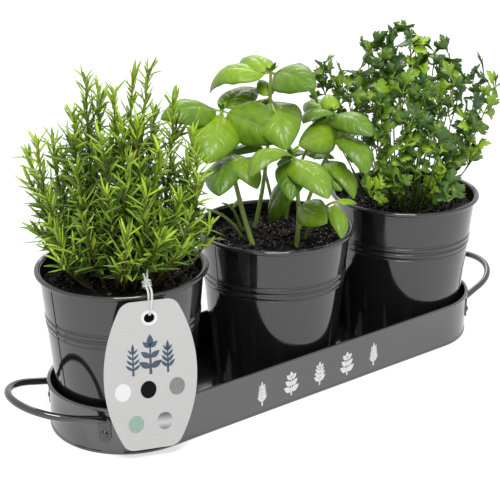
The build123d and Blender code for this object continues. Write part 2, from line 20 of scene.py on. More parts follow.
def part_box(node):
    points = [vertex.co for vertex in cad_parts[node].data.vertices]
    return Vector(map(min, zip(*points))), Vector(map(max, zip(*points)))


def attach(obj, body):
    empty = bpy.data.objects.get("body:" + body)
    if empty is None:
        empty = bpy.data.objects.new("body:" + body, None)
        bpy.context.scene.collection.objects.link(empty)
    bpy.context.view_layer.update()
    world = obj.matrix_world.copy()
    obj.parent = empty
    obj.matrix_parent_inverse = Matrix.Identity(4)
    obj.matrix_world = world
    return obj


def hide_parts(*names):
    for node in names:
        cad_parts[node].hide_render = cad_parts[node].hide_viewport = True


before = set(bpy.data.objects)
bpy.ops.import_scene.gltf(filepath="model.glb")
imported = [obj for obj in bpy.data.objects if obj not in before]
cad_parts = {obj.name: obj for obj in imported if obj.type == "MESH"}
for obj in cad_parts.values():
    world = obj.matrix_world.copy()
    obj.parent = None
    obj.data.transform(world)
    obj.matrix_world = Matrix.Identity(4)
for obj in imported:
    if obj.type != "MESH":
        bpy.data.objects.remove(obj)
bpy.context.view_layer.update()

# %% [markdown]
# ## Camera
# The photograph looks down at the planter from the front left. The rims of the three pots
# and the long edge of the tray give the camera's place and lens, so both are written as
# they were worked out from those edges.

# %% Place the camera
camera_place = Vector((-0.5013, -0.6264, 0.3923))
camera_target = Vector((-0.0207, 0, 0.0921))
camera_turn = (camera_target - camera_place).to_track_quat("-Z", "Y").to_euler()
bpy.ops.object.select_all(action="DESELECT")
bpy.ops.object.camera_add(location=camera_place, rotation=camera_turn)
camera = bpy.context.object
camera.name = "photo_camera"
camera.data.lens = 90.93
camera.data.sensor_width = 36
bpy.context.scene.camera = camera
print("camera", round((camera_target - camera_place).length, 3), "m from the pots")

# %% [markdown]
# ## Small tools
# Every piece ends in the same way: it gets its material, it rides on a body of the frame, and it may stand
# for a CAD node. One helper does that.
# Others make a mesh from lists of points and faces, or take those lists from a shape that
# was modelled once, for the plants and the soil, where one shape is repeated many times.


# %% Helpers for finished pieces
def paint(piece, material):
    """Give a piece one material in place of what it had."""
    piece.data.materials.clear()
    piece.data.materials.append(material)


def finish_piece(piece, body, material, nodes=()):
    """Give a piece its material, its body and the CAD nodes that it stands for."""
    paint(piece, material)
    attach(piece, body)
    if nodes:
        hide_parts(*nodes)
    print(piece.name, "rides on", body, "with", len(piece.data.vertices), "points")


# %% Make, thicken and copy shapes
def mesh_piece(name, points, faces, smooth=True):
    """Make an object at the origin from points and faces."""
    mesh = bpy.data.meshes.new(name)
    mesh.from_pydata([tuple(point) for point in points], [], [tuple(face) for face in faces])
    mesh.validate()
    if smooth:
        mesh.shade_smooth()
    piece = bpy.data.objects.new(name, mesh)
    bpy.context.collection.objects.link(piece)
    return piece


def add_shape(operator, **settings):
    """A new primitive, with nothing else selected."""
    bpy.ops.object.select_all(action="DESELECT")
    operator(**settings)
    return bpy.context.object


def thicken(piece, thickness):
    """Give a flat piece its thickness, away from its upper side."""
    bpy.ops.object.select_all(action="DESELECT")
    piece.select_set(True)
    bpy.context.view_layer.objects.active = piece
    solidify = piece.modifiers.new("thickness", "SOLIDIFY")
    solidify.thickness = thickness
    solidify.offset = -1
    bpy.ops.object.modifier_apply(modifier="thickness")


def take_shape(piece, name):
    """Points and faces of a modelled shape that is copied many times. The object goes."""
    points = np.array([vertex.co[:] for vertex in piece.data.vertices])
    faces = [tuple(polygon.vertices) for polygon in piece.data.polygons]
    bpy.data.objects.remove(piece)
    print(name, "of", len(faces), "faces")
    return points, faces


def add_copy(points, faces, places, shape_faces):
    """Add one copy of a shape to lists of points and faces."""
    first = len(points)
    points.extend(map(tuple, places))
    faces.extend(tuple(first + corner for corner in face) for face in shape_faces)


# %% Directions, rings and stored numbers
def lay_out(columns, axes):
    """Points of a shape whose X, Y and Z, each a column, run along three directions."""
    return sum(np.outer(column, axis) for column, axis in zip(columns, axes))


def join_rings(faces, first, second, count):
    """Add the faces between two rings of points, which start at two places in a list."""
    for step in range(count):
        beside = (step + 1) % count
        faces.append((first + step, second + step, second + beside, first + beside))


def turned(side, across, turn):
    """The direction that is reached by turning from one side towards the other."""
    return side * math.cos(turn) + across * math.sin(turn)


def give_values(piece, name, values):
    """Store one number for each point of a piece, for its material to read."""
    attribute = piece.data.attributes.new(name, "FLOAT", "POINT")
    attribute.data.foreach_set("value", np.asarray(values, dtype=np.float32))


# %% [markdown]
# ## Cord of the tag
# The tag hangs on a thin white cord that leaves the rosemary, goes over the rim of the pot,
# through the eyelet and back to a knot. The cord's middle line is one smooth spline along
# the CAD route. The real cord is three plies twisted together, so three thin tubes wind around
# that line, which catches the light as a twisted cord does.

# %% Route of the cord
pot_places = {"left": -0.121, "middle": 0.0, "right": 0.121}
tag_out = Vector((-0.358368, -0.933580, 0))
tag_along = Vector((0.933580, -0.358368, 0))


def tag_point(out, along, height):
    """Point given in mm from the left pot's axis: out to the tag, along the tag and up."""
    place = tag_out * out + tag_along * along + Vector((0, 0, height))
    return place * 0.001 + Vector((pot_places["left"], 0, 0))


cord_route = [
    (45.2, 7.6, 108.6), (49.6, 7.5, 109.1), (54.7, 7.2, 108.7), (58.2, 6.5, 105.6),
    (58.9, 5.6, 100.6), (58.8, 5.0, 95.4), (54.8, 4.5, 95.4), (54.9, 4.9, 100.8),
    (54.8, 5.3, 107.0), (50.6, 5.6, 108.5), (45.2, 5.7, 108.4),
]


def smooth_line(name, points):
    """Points along a NURBS spline that is drawn toward the given points."""
    curve = bpy.data.curves.new(name, "CURVE")
    curve.dimensions = "3D"
    curve.resolution_u = 10
    spline = curve.splines.new("NURBS")
    spline.points.add(len(points) - 1)
    for control, point in zip(spline.points, points):
        control.co = (*point, 1)
    spline.order_u = 3
    spline.use_endpoint_u = True
    guide = bpy.data.objects.new(name, curve)
    bpy.context.collection.objects.link(guide)
    line = bpy.data.meshes.new_from_object(guide)
    places = [vertex.co.copy() for vertex in line.vertices]
    bpy.data.objects.remove(guide)
    bpy.data.meshes.remove(line)
    return places


cord_line = smooth_line("cord_guide", [tag_point(*point) for point in cord_route])
cord_length = sum((b - a).length for a, b in zip(cord_line, cord_line[1:]))
print("cord length", round(cord_length * 1000, 1), "mm in", len(cord_line), "points")


# %% Tubes and helices along a line
def line_frames(line):
    """Direction and two sides at each point of a line, turned as little as possible."""
    directions = []
    for index in range(len(line)):
        before = line[max(index - 1, 0)]
        after = line[min(index + 1, len(line) - 1)]
        directions.append((after - before).normalized())
    side = directions[0].orthogonal().normalized()
    frames = []
    for direction in directions:
        side = (side - direction * side.dot(direction)).normalized()
        frames.append((direction, side, direction.cross(side)))
    return frames


def tube_mesh(line, radii, sides, points, faces):
    """Add a closed tube along a line to lists of points and faces."""
    first = len(points)
    for place, (direction, side, across), radius in zip(line, line_frames(line), radii):
        for step in range(sides):
            points.append(place + turned(side, across, 2 * math.pi * step / sides) * radius)
    for ring in range(len(line) - 1):
        for step in range(sides):
            here = first + ring * sides + step
            beside = first + ring * sides + (step + 1) % sides
            faces.append((here, beside, beside + sides, here + sides))
    faces.append([first + step for step in reversed(range(sides))])
    last = first + (len(line) - 1) * sides
    faces.append([last + step for step in range(sides)])


def ply_line(line, radius, pitch, start):
    """A helix that keeps its distance from a line."""
    places = []
    travelled = 0
    before = line[0]
    for place, (direction, side, across) in zip(line, line_frames(line)):
        travelled += (place - before).length
        before = place
        turn = start + 2 * math.pi * travelled / pitch
        places.append(place + turned(side, across, turn) * radius)
    return places


def even_line(line, step):
    """The same line with its points an even step apart."""
    lengths = [0]
    for a, b in zip(line, line[1:]):
        lengths.append(lengths[-1] + (b - a).length)
    count = max(int(lengths[-1] / step), 2)
    wanted = np.linspace(0, lengths[-1], count + 1)
    columns = [np.interp(wanted, lengths, [point[axis] for point in line]) for axis in range(3)]
    return [Vector(place) for place in zip(*columns)]


# %% Twist three plies around the route
cord_radius = 0.0007
ply_radius = cord_radius * 0.5
ply_end_radius = cord_radius * 0.3
ply_starts = (0, 2.094, 4.189)
twist_pitch = 0.0036
cord_step = 0.0003


def twisted_cord(name, lines):
    """A three-ply cord along each of the given lines, as one piece."""
    points, faces = [], []
    for line in lines:
        line = even_line(line, cord_step)
        for start in ply_starts:
            places = ply_line(line, ply_radius, twist_pitch, start)
            radii = [ply_radius] * len(places)
            radii[0] = radii[-1] = ply_end_radius
            tube_mesh(places, radii, 7, points, faces)
    return mesh_piece(name, points, faces)


tag_cord = twisted_cord("hanging_cord", [cord_line])

# %% Knot and its two short ends
knot_place = tag_point(43.0, 6.7, 108.6)
knot_axis = (tag_point(39.5, 7.2, 113.0) - knot_place).normalized()
knot_side = knot_axis.cross(Vector((0, 0, 1))).normalized()
knot_front = knot_axis.cross(knot_side)
wrap_steps = 28
wrap_route = [knot_place - knot_axis * 0.0026 + knot_side * 0.0008]
for step in range(wrap_steps):
    rise = -0.0024 + 0.0050 * step / (wrap_steps - 1)
    sideways = turned(knot_side, knot_front, 2 * math.pi * step / 8)
    wrap_route.append(knot_place + knot_axis * rise + sideways * (0.0021 + 0.0003 * (step % 3)))
wrap_route.append(knot_place + knot_axis * 0.0034 - knot_side * 0.0006)
long_end = [
    (44.2, 6.9, 107.4), (42.4, 7.2, 109.4), (40.6, 7.6, 112.0), (38.0, 8.2, 114.2), (34.6, 9.3, 115.0),
]
short_end = [(44.2, 6.3, 107.6), (42.6, 6.4, 110.0), (42.0, 5.6, 113.0), (42.4, 5.0, 115.4)]
knot_routes = [wrap_route] + [[tag_point(*point) for point in end] for end in (long_end, short_end)]
cord_knot = twisted_cord("cord_knot_wraps", [smooth_line("knot_guide", route) for route in knot_routes])
print("knot of", len(cord_knot.data.polygons), "faces")

# %% [markdown]
# ## Shared shader effects
# Several finishes use the same effects, so each effect is a node group that is built once.
# A group only puts out colours, masks and values. The Principled shader stays in each
# material, with its plain numbers set on its own sockets.


# %% Helpers that feed a node's inputs
def feed(tree, socket, value):
    """Link an input to another node's output, or set it to a number, vector or colour."""
    if isinstance(value, bpy.types.NodeSocket):
        tree.links.new(value, socket)
    elif socket.type == "RGBA":
        socket.default_value = (*value, 1)
    else:
        socket.default_value = value


def set_node(tree, node, settings):
    """Give a node its own settings, and feed its inputs, all by their names."""
    for label, value in settings.items():
        if hasattr(node, label):
            setattr(node, label, value)
        else:
            feed(tree, node.inputs[label.replace("_", " ")], value)
    return node


def add_node(tree, kind, **settings):
    """A new shader node with its settings and inputs."""
    return set_node(tree, tree.nodes.new("ShaderNode" + kind), settings)


# %% Nodes that most finishes use
def add_noise(tree, scale, detail=3.0, place=None):
    """Noise at a scale per metre of the Object coordinates, or of another place."""
    if place is None:
        place = add_node(tree, "TexCoord").outputs["Object"]
    return add_node(tree, "TexNoise", Scale=scale, Detail=detail, Vector=place).outputs["Fac"]


def add_height(tree):
    """Height above the table in metres."""
    place = add_node(tree, "TexCoord").outputs["Object"]
    return add_node(tree, "SeparateXYZ", Vector=place).outputs["Z"]


def stored_value(tree, name):
    """A number that is stored at the points of a piece."""
    return add_node(tree, "Attribute", attribute_name=name).outputs["Fac"]


def add_range(tree, source, low, high, new_low, new_high):
    """A number spread from one range to another."""
    limits = {"From Min": low, "From Max": high, "To Min": new_low, "To Max": new_high}
    return add_node(tree, "MapRange", Value=source, **limits).outputs["Result"]


def add_math(tree, operation, first, second=0.0):
    """The result of an operation on two sockets or plain numbers."""
    node = add_node(tree, "Math", operation=operation)
    for socket, value in zip(node.inputs, (first, second)):
        feed(tree, socket, value)
    return node.outputs[0]


def add_mix(tree, factor, first, second):
    """A mix of two colours. The Mix node's colour inputs are its seventh and eighth."""
    node = add_node(tree, "Mix", data_type="RGBA")
    for index, value in ((0, factor), (6, first), (7, second)):
        feed(tree, node.inputs[index], value)
    return node.outputs[2]


def add_bump(tree, height, strength, distance, **before):
    """A normal that is tilted by a height, over an earlier Normal if there is one."""
    node = add_node(tree, "Bump", Height=height, Strength=strength, Distance=distance, **before)
    return node.outputs["Normal"]


# %% Node groups and materials
def new_group(name, inputs, outputs):
    """A node group with named inputs and outputs: the group, its inputs and its last node."""
    group = bpy.data.node_groups.new(name, "ShaderNodeTree")
    for label, value in inputs.items():
        kind = "NodeSocketColor" if isinstance(value, tuple) else "NodeSocketFloat"
        socket = group.interface.new_socket(name=label, in_out="INPUT", socket_type=kind)
        socket.default_value = (*value, 1) if isinstance(value, tuple) else value
    for label, kind in outputs.items():
        group.interface.new_socket(name=label, in_out="OUTPUT", socket_type="NodeSocket" + kind)
    return group, group.nodes.new("NodeGroupInput").outputs, group.nodes.new("NodeGroupOutput")


def add_group(tree, group, **values):
    """The outputs of a group that is placed in a material with its own values."""
    node = tree.nodes.new("ShaderNodeGroup")
    node.node_tree = group
    return set_node(tree, node, values).outputs


def feed_shader(material, **settings):
    """Feed the inputs of a material's Principled shader."""
    tree = material.node_tree
    set_node(tree, tree.nodes["Principled BSDF"], settings)
    return material


def new_material(name, **settings):
    """A material and its node tree, with the plain numbers of its Principled shader."""
    material = bpy.data.materials.new(name)
    material.use_nodes = True
    return feed_shader(material, **settings), material.node_tree


# %% Sprayed enamel
def build_enamel_skin():
    """Fine orange peel, hand smudges and a trace of dust on sprayed metal."""
    inputs = {"Colour": (0.01, 0.01, 0.01), "Dust": (0.2, 0.19, 0.17), "Dust Amount": 0.02}
    inputs.update({"Smooth": 0.06, "Smudged": 0.14, "Peel": 0.03})
    outputs = {"Colour": "Color", "Roughness": "Float", "Normal": "Vector"}
    group, given, leave = new_group("enamel_skin", inputs, outputs)
    normal = add_bump(group, add_noise(group, 1400, 2), given["Peel"], 0.0003)
    smudge = add_range(group, add_noise(group, 42, 5), 0.45, 0.7, 0, 1)
    rough = add_range(group, smudge, 0, 1, given["Smooth"], given["Smudged"])
    specks = add_range(group, add_noise(group, 2600, 4), 0.55, 0.75, 0, 1)
    dusty = add_math(group, "MULTIPLY", specks, given["Dust Amount"])
    colour = add_mix(group, dusty, given["Colour"], given["Dust"])
    set_node(group, leave, {"Colour": colour, "Roughness": rough, "Normal": normal})
    return group


enamel_skin = build_enamel_skin()


def enamel(name, colour, index, **values):
    """Glossy black metal paint. A high index makes it mirror the white table more."""
    material, tree = new_material(name, IOR=index)
    skin = add_group(tree, enamel_skin, Colour=colour, **values)
    return feed_shader(
        material, Base_Color=skin["Colour"], Roughness=skin["Roughness"], Normal=skin["Normal"]
    )


# %% Paint the tin parts
node_paints = {
    "tray": enamel("tray_enamel", (0.010, 0.010, 0.0105), 2.05),
    "pot": enamel("pot_enamel", (0.012, 0.012, 0.0125), 1.74),
    "handle": enamel("black_wire", (0.008, 0.008, 0.0085), 1.85, Smudged=0.2, Peel=0.05),
    "rivets": enamel("black_rivet", (0.010, 0.010, 0.0105), 1.8, Smooth=0.12, Smudged=0.25),
}
painted = [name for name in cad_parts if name.split("_")[0] in node_paints]
for node_name in painted:
    paint(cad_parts[node_name], node_paints[node_name.split("_")[0]])
print("painted", ", ".join(painted))

# %% [markdown]
# ## Soil
# Potting soil is not smooth: it is loose fibres and crumbs, darker where it is wet, with a few
# pale mineral grains. Where a plant is lifted, its soil comes along and keeps the shape of
# the pot, with dents and pale roots in its side. So each pot gets a closed plug that smooth
# noise shapes, and crumbs that are modelled once are strewn over its top and its side.


# %% Soil finish
def soil_finish():
    """Very dark, mostly matt earth, with moist crumbs, pale grains and root threads in its side."""
    material, tree = new_material("damp_soil", IOR=1.4, Specular_IOR_Level=0.22)
    coarse = add_range(tree, add_noise(tree, 260, 6), 0.35, 0.7, 0, 1)
    colour = add_mix(tree, coarse, (0.0026, 0.0021, 0.0020), (0.026, 0.019, 0.016))
    speck = add_range(tree, stored_value(tree, "grain"), 0.5, 1, 0, 1)
    colour = add_mix(tree, speck, colour, (0.66, 0.63, 0.58))
    below = add_range(tree, add_height(tree), 0.090, 0.093, 1, 0)
    for scale in (70, 130, 210):
        contour = add_math(tree, "SUBTRACT", add_noise(tree, scale, 0), 0.5)
        away = add_math(tree, "ABSOLUTE", contour)
        root = add_math(tree, "MULTIPLY", add_range(tree, away, 0.003, 0.014, 0.6, 0), below)
        colour = add_mix(tree, root, colour, (0.42, 0.34, 0.22))
    fine = add_noise(tree, 1500, 5)
    rough = add_range(tree, fine, 0.35, 0.65, 0.42, 0.9)
    return feed_shader(
        material, Base_Color=colour, Roughness=rough, Normal=add_bump(tree, fine, 0.7, 0.0008)
    )


damp_soil = soil_finish()
soil_top = 0.097
soil_foot_radius = 0.0411


# %% Model one crumb
def model_crumb():
    """A lump of earth with a few flat sides, about one unit wide."""
    crumb = add_shape(bpy.ops.mesh.primitive_ico_sphere_add, subdivisions=1, radius=0.5)
    bpy.ops.object.mode_set(mode="EDIT")
    bpy.ops.transform.resize(value=(1.15, 0.85, 0.65))
    bpy.ops.transform.vertex_random(offset=0.16, seed=7)
    bpy.ops.object.mode_set(mode="OBJECT")
    return take_shape(crumb, "crumb")


crumb_points, crumb_faces = model_crumb()


# %% Shape the top and the side of the soil
def soil_height(x, y):
    """Height of the soil above its CAD top: swells, clods and fibres."""
    swell = noise.noise(Vector((x * 38, y * 38, 1.3))) * 0.0014
    clod = noise.noise(Vector((x * 130, y * 130, 4.1))) * 0.0014
    fine = noise.noise(Vector((x * 420, y * 420, 9.7))) * 0.0007
    return swell + clod + fine


def turn_matrix(rng):
    """A random turn."""
    axis = Vector((rng.uniform(-1, 1), rng.uniform(-1, 1), rng.uniform(-1, 1))).normalized()
    return np.array(Matrix.Rotation(rng.uniform(0, 6.28), 3, axis))


def side_dent(turn, height, seed):
    """Depth of the hollows that roots and crumbs leave in the side of the pressed soil."""
    around = Vector((math.cos(turn) * 6, math.sin(turn) * 6, height * 130 + seed * 9))
    fine = Vector((math.cos(turn) * 17, math.sin(turn) * 17, height * 380))
    return 0.0007 + 0.0006 * noise.noise(around) + 0.0004 * noise.noise(fine)


# %% Fill the three pots
soil_rings = 34
soil_spokes = 84
side_steps = 30
foot_chamfer = 0.0012
rim_margin = 0.0016
top_crumbs = 1700
side_crumbs = 1100
top_grain_every = 8
side_grain_every = 30
grain_sizes = (0.0006, 0.0012)
side_sizes = (0.0008, 0.0024)


def make_soil(name, seed):
    """A closed plug of soil that fills one pot, with crumbs and grains on its top and side."""
    low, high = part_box("soil_" + name)
    centre, foot_height = pot_places[name], low[2]
    radius = (high[0] - low[0]) / 2
    rng = random.Random(seed)
    points = [(centre, 0, soil_top + soil_height(centre, 0))]
    for ring in range(1, soil_rings + 1):
        reach = radius * ring / soil_rings
        for spoke in range(soil_spokes):
            turn = 2 * math.pi * (spoke + 0.5 * (ring % 2)) / soil_spokes
            x, y = centre + reach * math.cos(turn), reach * math.sin(turn)
            points.append((x, y, soil_top + soil_height(x, y) * (1 - 0.5 * (ring == soil_rings))))
    for step in range(1, side_steps + 1):
        share = step / side_steps
        height = soil_top + (foot_height - soil_top) * share
        reach = radius + (soil_foot_radius - radius) * share - foot_chamfer * (step == side_steps)
        for spoke in range(soil_spokes):
            turn = 2 * math.pi * spoke / soil_spokes
            inner = reach - side_dent(turn, height, seed) * (step < side_steps)
            points.append((centre + inner * math.cos(turn), inner * math.sin(turn), height))
    faces = [(0, 1 + spoke, 1 + (spoke + 1) % soil_spokes) for spoke in range(soil_spokes)]
    for ring in range(soil_rings + side_steps - 1):
        join_rings(faces, 1 + ring * soil_spokes, 1 + (ring + 1) * soil_spokes, soil_spokes)
    faces.append([len(points) - 1 - spoke for spoke in range(soil_spokes)])
    grains = [0.0] * len(points)

    def add_crumb(reach, turn, height, size, grain):
        place = np.array((centre + reach * math.cos(turn), reach * math.sin(turn), height))
        add_copy(points, faces, crumb_points @ turn_matrix(rng).T * size + place, crumb_faces)
        grains.extend([float(grain)] * len(crumb_points))

    for index in range(top_crumbs):
        pale = index % top_grain_every == 0
        size = rng.uniform(*grain_sizes) if pale else 0.0008 + 0.0022 * rng.random() ** 2.2
        reach = (radius - rim_margin) * math.sqrt(rng.random())
        turn = rng.uniform(0, 2 * math.pi)
        ground = soil_height(centre + reach * math.cos(turn), reach * math.sin(turn))
        add_crumb(reach, turn, soil_top + ground + size * 0.18, size, pale)
    for index in range(side_crumbs):
        size = rng.uniform(*side_sizes)
        turn = rng.uniform(0, 2 * math.pi)
        height = rng.uniform(foot_height + 0.003, soil_top - 0.003)
        share = (soil_top - height) / (soil_top - foot_height)
        reach = radius + (soil_foot_radius - radius) * share - 0.0002 - size * 0.62
        add_crumb(reach, turn, height, size, index % side_grain_every == 0)
    soil = mesh_piece("soil_bed_" + name, points, faces)
    give_values(soil, "grain", grains)
    finish_piece(soil, "plant_" + name, damp_soil, ["soil_" + name])


for seed, name in enumerate(pot_places):
    make_soil(name, seed)


# %% [markdown]
# ## Living green
# The three herbs share one effect. Young leaves are a lighter, yellower green than old ones,
# the underside of a leaf is pale and matt, and no leaf is one even colour. Each plant stores
# a tint for every leaf, and a mark for the underside, which the group reads.


# %% Leaf colour group
def build_living_green():
    """Leaf colour from the tint of the leaf, its side and a soft mottle."""
    inputs = {"Deep": (0.03, 0.08, 0.01), "Fresh": (0.2, 0.35, 0.03), "Under": (0.3, 0.4, 0.2)}
    inputs.update({"Mottle": 0.25, "Gloss": 0.35, "Matt": 0.6})
    group, given, leave = new_group("living_green", inputs, {"Colour": "Color", "Roughness": "Float"})
    under = stored_value(group, "under")
    mottle = add_range(group, add_noise(group, 160, 4), 0.3, 0.7, -0.5, 0.5)
    change = add_math(group, "MULTIPLY", mottle, given["Mottle"])
    share = add_math(group, "ADD", stored_value(group, "tint"), change)
    upper = add_mix(group, share, given["Deep"], given["Fresh"])
    colour = add_mix(group, under, upper, given["Under"])
    rough = add_range(group, under, 0, 1, given["Gloss"], given["Matt"])
    set_node(group, leave, {"Colour": colour, "Roughness": rough})
    return group


living_green = build_living_green()

# %% Tools for growing a plant
foot_share = 0.42
root_depth = Vector((0, 0, 0.0025))


def herb_point(place, spread, height, shares):
    """Point above a pot from the CAD table's shares, in metres."""
    across, deep, high = shares
    return Vector((place + across * spread, deep * spread, soil_top + high * height))


def stem_ends(place, spread, height, shares):
    """The foot of a stem, just inside the soil, and its tip."""
    foot = herb_point(place, spread, height, (foot_share * shares[0], foot_share * shares[1], 0))
    return foot - root_depth, herb_point(place, spread, height, shares)


def level_span(foot, tip):
    """How far a stem leans out, as a level direction."""
    return Vector((tip.x - foot.x, tip.y - foot.y, 0))


# %% Lists that grow into a plant
class HerbMesh:
    """Lists of points, faces and values that grow into one plant."""

    def __init__(self):
        self.points = []
        self.faces = []
        self.tint = []
        self.under = []

    def add(self, points, faces, tint, under=None):
        """Add a shape whose points carry one tint."""
        add_copy(self.points, self.faces, points, faces)
        self.tint.extend([tint] * len(points))
        self.under.extend(under if under is not None else [0.0] * len(points))

    def add_stem(self, line, start_radius, end_radius, tint, sides=6):
        """Add a stem that grows thinner along a line."""
        points, faces = [], []
        radii = np.linspace(start_radius, end_radius, len(line))
        tube_mesh(line, radii, sides, points, faces)
        self.add(points, faces, tint)

    def piece(self, name):
        """Make the plant's object."""
        plant = mesh_piece(name, self.points, self.faces)
        give_values(plant, "tint", self.tint)
        give_values(plant, "under", self.under)
        return plant


def bend(foot, middle, tip, count):
    """Points along a smooth arc that is drawn toward its middle point."""
    line = []
    for index in range(count + 1):
        share = index / count
        line.append(foot * (1 - share) ** 2 + middle * 2 * share * (1 - share) + tip * share**2)
    return line


# %% [markdown]
# ## Rosemary
# Rosemary grows in stiff upright sprigs, woody and brown at the foot. Its leaves are narrow
# needles in opposite pairs, long and spreading low on the sprig, and short, fine and nearly
# upright at the tip. One needle is cut from a four-sided rod, and each copy is bent as it is
# set on its sprig.


# %% Model one needle
def model_needle():
    """A four-sided needle, one unit long along X, closed at both ends."""
    rod = bpy.ops.mesh.primitive_cylinder_add
    needle = add_shape(rod, vertices=4, radius=0.5, depth=1, end_fill_type="TRIFAN")
    bpy.ops.object.mode_set(mode="EDIT")
    for height in (-0.3, -0.05, 0.2, 0.38):
        bpy.ops.mesh.select_all(action="SELECT")
        bpy.ops.mesh.bisect(plane_co=(0, 0, height), plane_no=(0, 0, 1))
    bpy.ops.object.mode_set(mode="OBJECT")
    points, faces = take_shape(needle, "needle")
    along = points[:, 2] + 0.5
    width = np.interp(along, [0, 0.2, 0.45, 0.7, 0.88, 1], [0.35, 0.85, 1.0, 0.85, 0.5, 0.08])
    return np.stack([along, points[:, 0] * width, points[:, 1] * width], axis=1), faces


needle_points, needle_faces = model_needle()

# %% Sprigs, as in the CAD table
rosemary_spread = 0.057
rosemary_height = 0.136
rosemary_tip_shares = [
    (-0.15, 0.35, 0.96), (0.10, 0.50, 0.88), (-0.05, -0.05, 0.92), (0.20, -0.05, 0.98),
    (0.40, -0.05, 1.00), (0.60, 0.15, 0.78), (0.55, -0.30, 0.88), (-0.30, 0.40, 0.82),
    (-0.75, 0.45, 0.70), (-0.45, 0.65, 0.68), (-0.25, 0.80, 0.58), (-0.60, 0.95, 0.58),
    (-0.80, 0.60, 0.52), (0.70, -0.45, 0.72), (0.65, -0.60, 0.64), (0.60, -0.70, 0.54),
    (0.70, -0.80, 0.32), (-0.05, -0.20, 0.80), (0.10, -0.30, 0.80), (-0.35, -0.25, 0.76),
    (0.15, -0.60, 0.70), (-0.20, -0.55, 0.68), (-0.55, -0.05, 0.62), (-0.80, 0.20, 0.48),
    (-0.85, 0.50, 0.30), (-0.85, -0.05, 0.34), (-0.45, -0.50, 0.54), (-0.15, -0.80, 0.54),
    (0.30, -0.80, 0.50), (0.35, -0.90, 0.40), (-0.70, -0.40, 0.44), (-0.40, -0.80, 0.38),
    (-0.05, -0.95, 0.36), (-0.90, -0.15, 0.22), (0.20, -1.00, 0.28), (0.20, 0.80, 0.62),
    (0.45, 0.60, 0.58), (-0.10, 0.70, 0.72), (0.70, 0.45, 0.46), (0.80, 0.10, 0.40),
    (0.55, 0.85, 0.36), (-0.35, 0.95, 0.40), (0.10, 1.00, 0.32),
]
needle_flatness = 0.45
soil_clear = 0.004
skirt_radius = 0.026
skirt_rise = 0.45
rim_inside = 0.044
rim_clear = 0.1125


# %% Set one needle
def set_needle(herb, root, stem_way, outward, length, width, lean, droop, tint, rng):
    """Copy the needle onto a stem, unless it would reach into the soil or the pot's rim."""
    heading = turned(stem_way, outward, lean).normalized()
    side = stem_way.cross(outward).normalized()
    face = side.cross(heading).normalized()
    roll = rng.uniform(-0.5, 0.5)
    side, face = turned(side, face, roll), turned(face, -side, roll)
    x, y, z = needle_points.T
    places = lay_out((x * length, y * width, z * width * needle_flatness), (heading, side, face))
    fall = Vector((0, 0, -1)) * droop + outward * (0.3 * abs(droop)) + side * rng.uniform(-0.25, 0.25)
    places += np.outer(x**2 * length, fall)
    places += np.array(root)
    lowest = places[:, 2].min()
    reach = np.hypot(places[:, 0] - pot_places["left"], places[:, 1]).max()
    least = soil_top + soil_clear + skirt_rise * max(reach - skirt_radius, 0)
    if lowest > least and (reach < rim_inside or lowest > rim_clear):
        herb.add(places, needle_faces, tint)


# %% Grow one sprig
needle_gap = 0.0030
# A needle at the foot of a sprig, and how much less it has at the tip
needle_length, needle_width, needle_lean = 0.0222, 0.0031, 70
tip_shorter, tip_thinner, tip_steeper = 0.0105, 0.0011, 38
young_share = 0.08


def grow_sprig(herb, line, rng, fullness=1.0, start=0.18):
    """One sprig along a line of points, with its needles in opposite pairs."""
    foot_tint = -1.0 if fullness == 1.0 else -0.25
    herb.add_stem(line, 0.0010 * fullness, 0.0005, foot_tint, 5)
    places = even_line(line, needle_gap)
    frames = line_frames(places)
    turn = rng.uniform(0, 6.28)
    count = len(places)
    for index in range(int(start * count), count):
        share = index / count
        direction, side, across = frames[index]
        turn += 1.57 + rng.uniform(-0.6, 0.6)
        pairs = 2 if share < 0.9 and index % 3 else 3
        for step in range(pairs):
            angle = turn + step * 2 * math.pi / pairs + rng.uniform(-0.5, 0.5)
            outward = turned(side, across, angle)
            length = (needle_length - tip_shorter * share) * rng.uniform(0.55, 1.2) * fullness
            width = (needle_width - tip_thinner * share) * rng.uniform(0.75, 1.2) * fullness
            lean = math.radians(needle_lean - tip_steeper * share + rng.uniform(-28, 22))
            droop = rng.uniform(-0.35, 0.60) * (1 - 0.5 * share)
            # The tint rises towards the top of each sprig: partly younger needles, and partly painted
            # light, lighter high up where the light falls and darker low in the shaded bush.
            tint = 0.05 + 0.66 * share**2.0 + rng.uniform(-0.24, 0.44)
            if rng.random() < young_share:
                tint += 0.45
            set_needle(herb, places[index], direction, outward, length, width, lean, droop, tint, rng)


# %% Grow the rosemary
needle_clearance = 0.0085
sprig_steps = 14
shoot_shares = (0.30, 0.52, 0.70)
shoot_limit = 0.050


def grow_shoot(herb, line, share, place, rng):
    """A side shoot that leaves its sprig at a share of the way up."""
    fork = line[round((share + rng.uniform(-0.08, 0.08)) * sprig_steps)]
    way = (line[-1] - fork).normalized()
    turn = rng.uniform(0, 2 * math.pi)
    outward = Vector((math.cos(turn), math.sin(turn), 0))
    reach = rng.uniform(0.016, 0.032) * (1 - 0.4 * share)
    end = fork + (way + outward * rng.uniform(0.45, 0.8)).normalized() * reach
    elbow = (fork + end) / 2 + outward * reach * 0.12
    if Vector((end.x - place, end.y, 0)).length < shoot_limit:
        grow_sprig(herb, bend(fork, elbow, end, 6), rng, 0.82, 0.0)


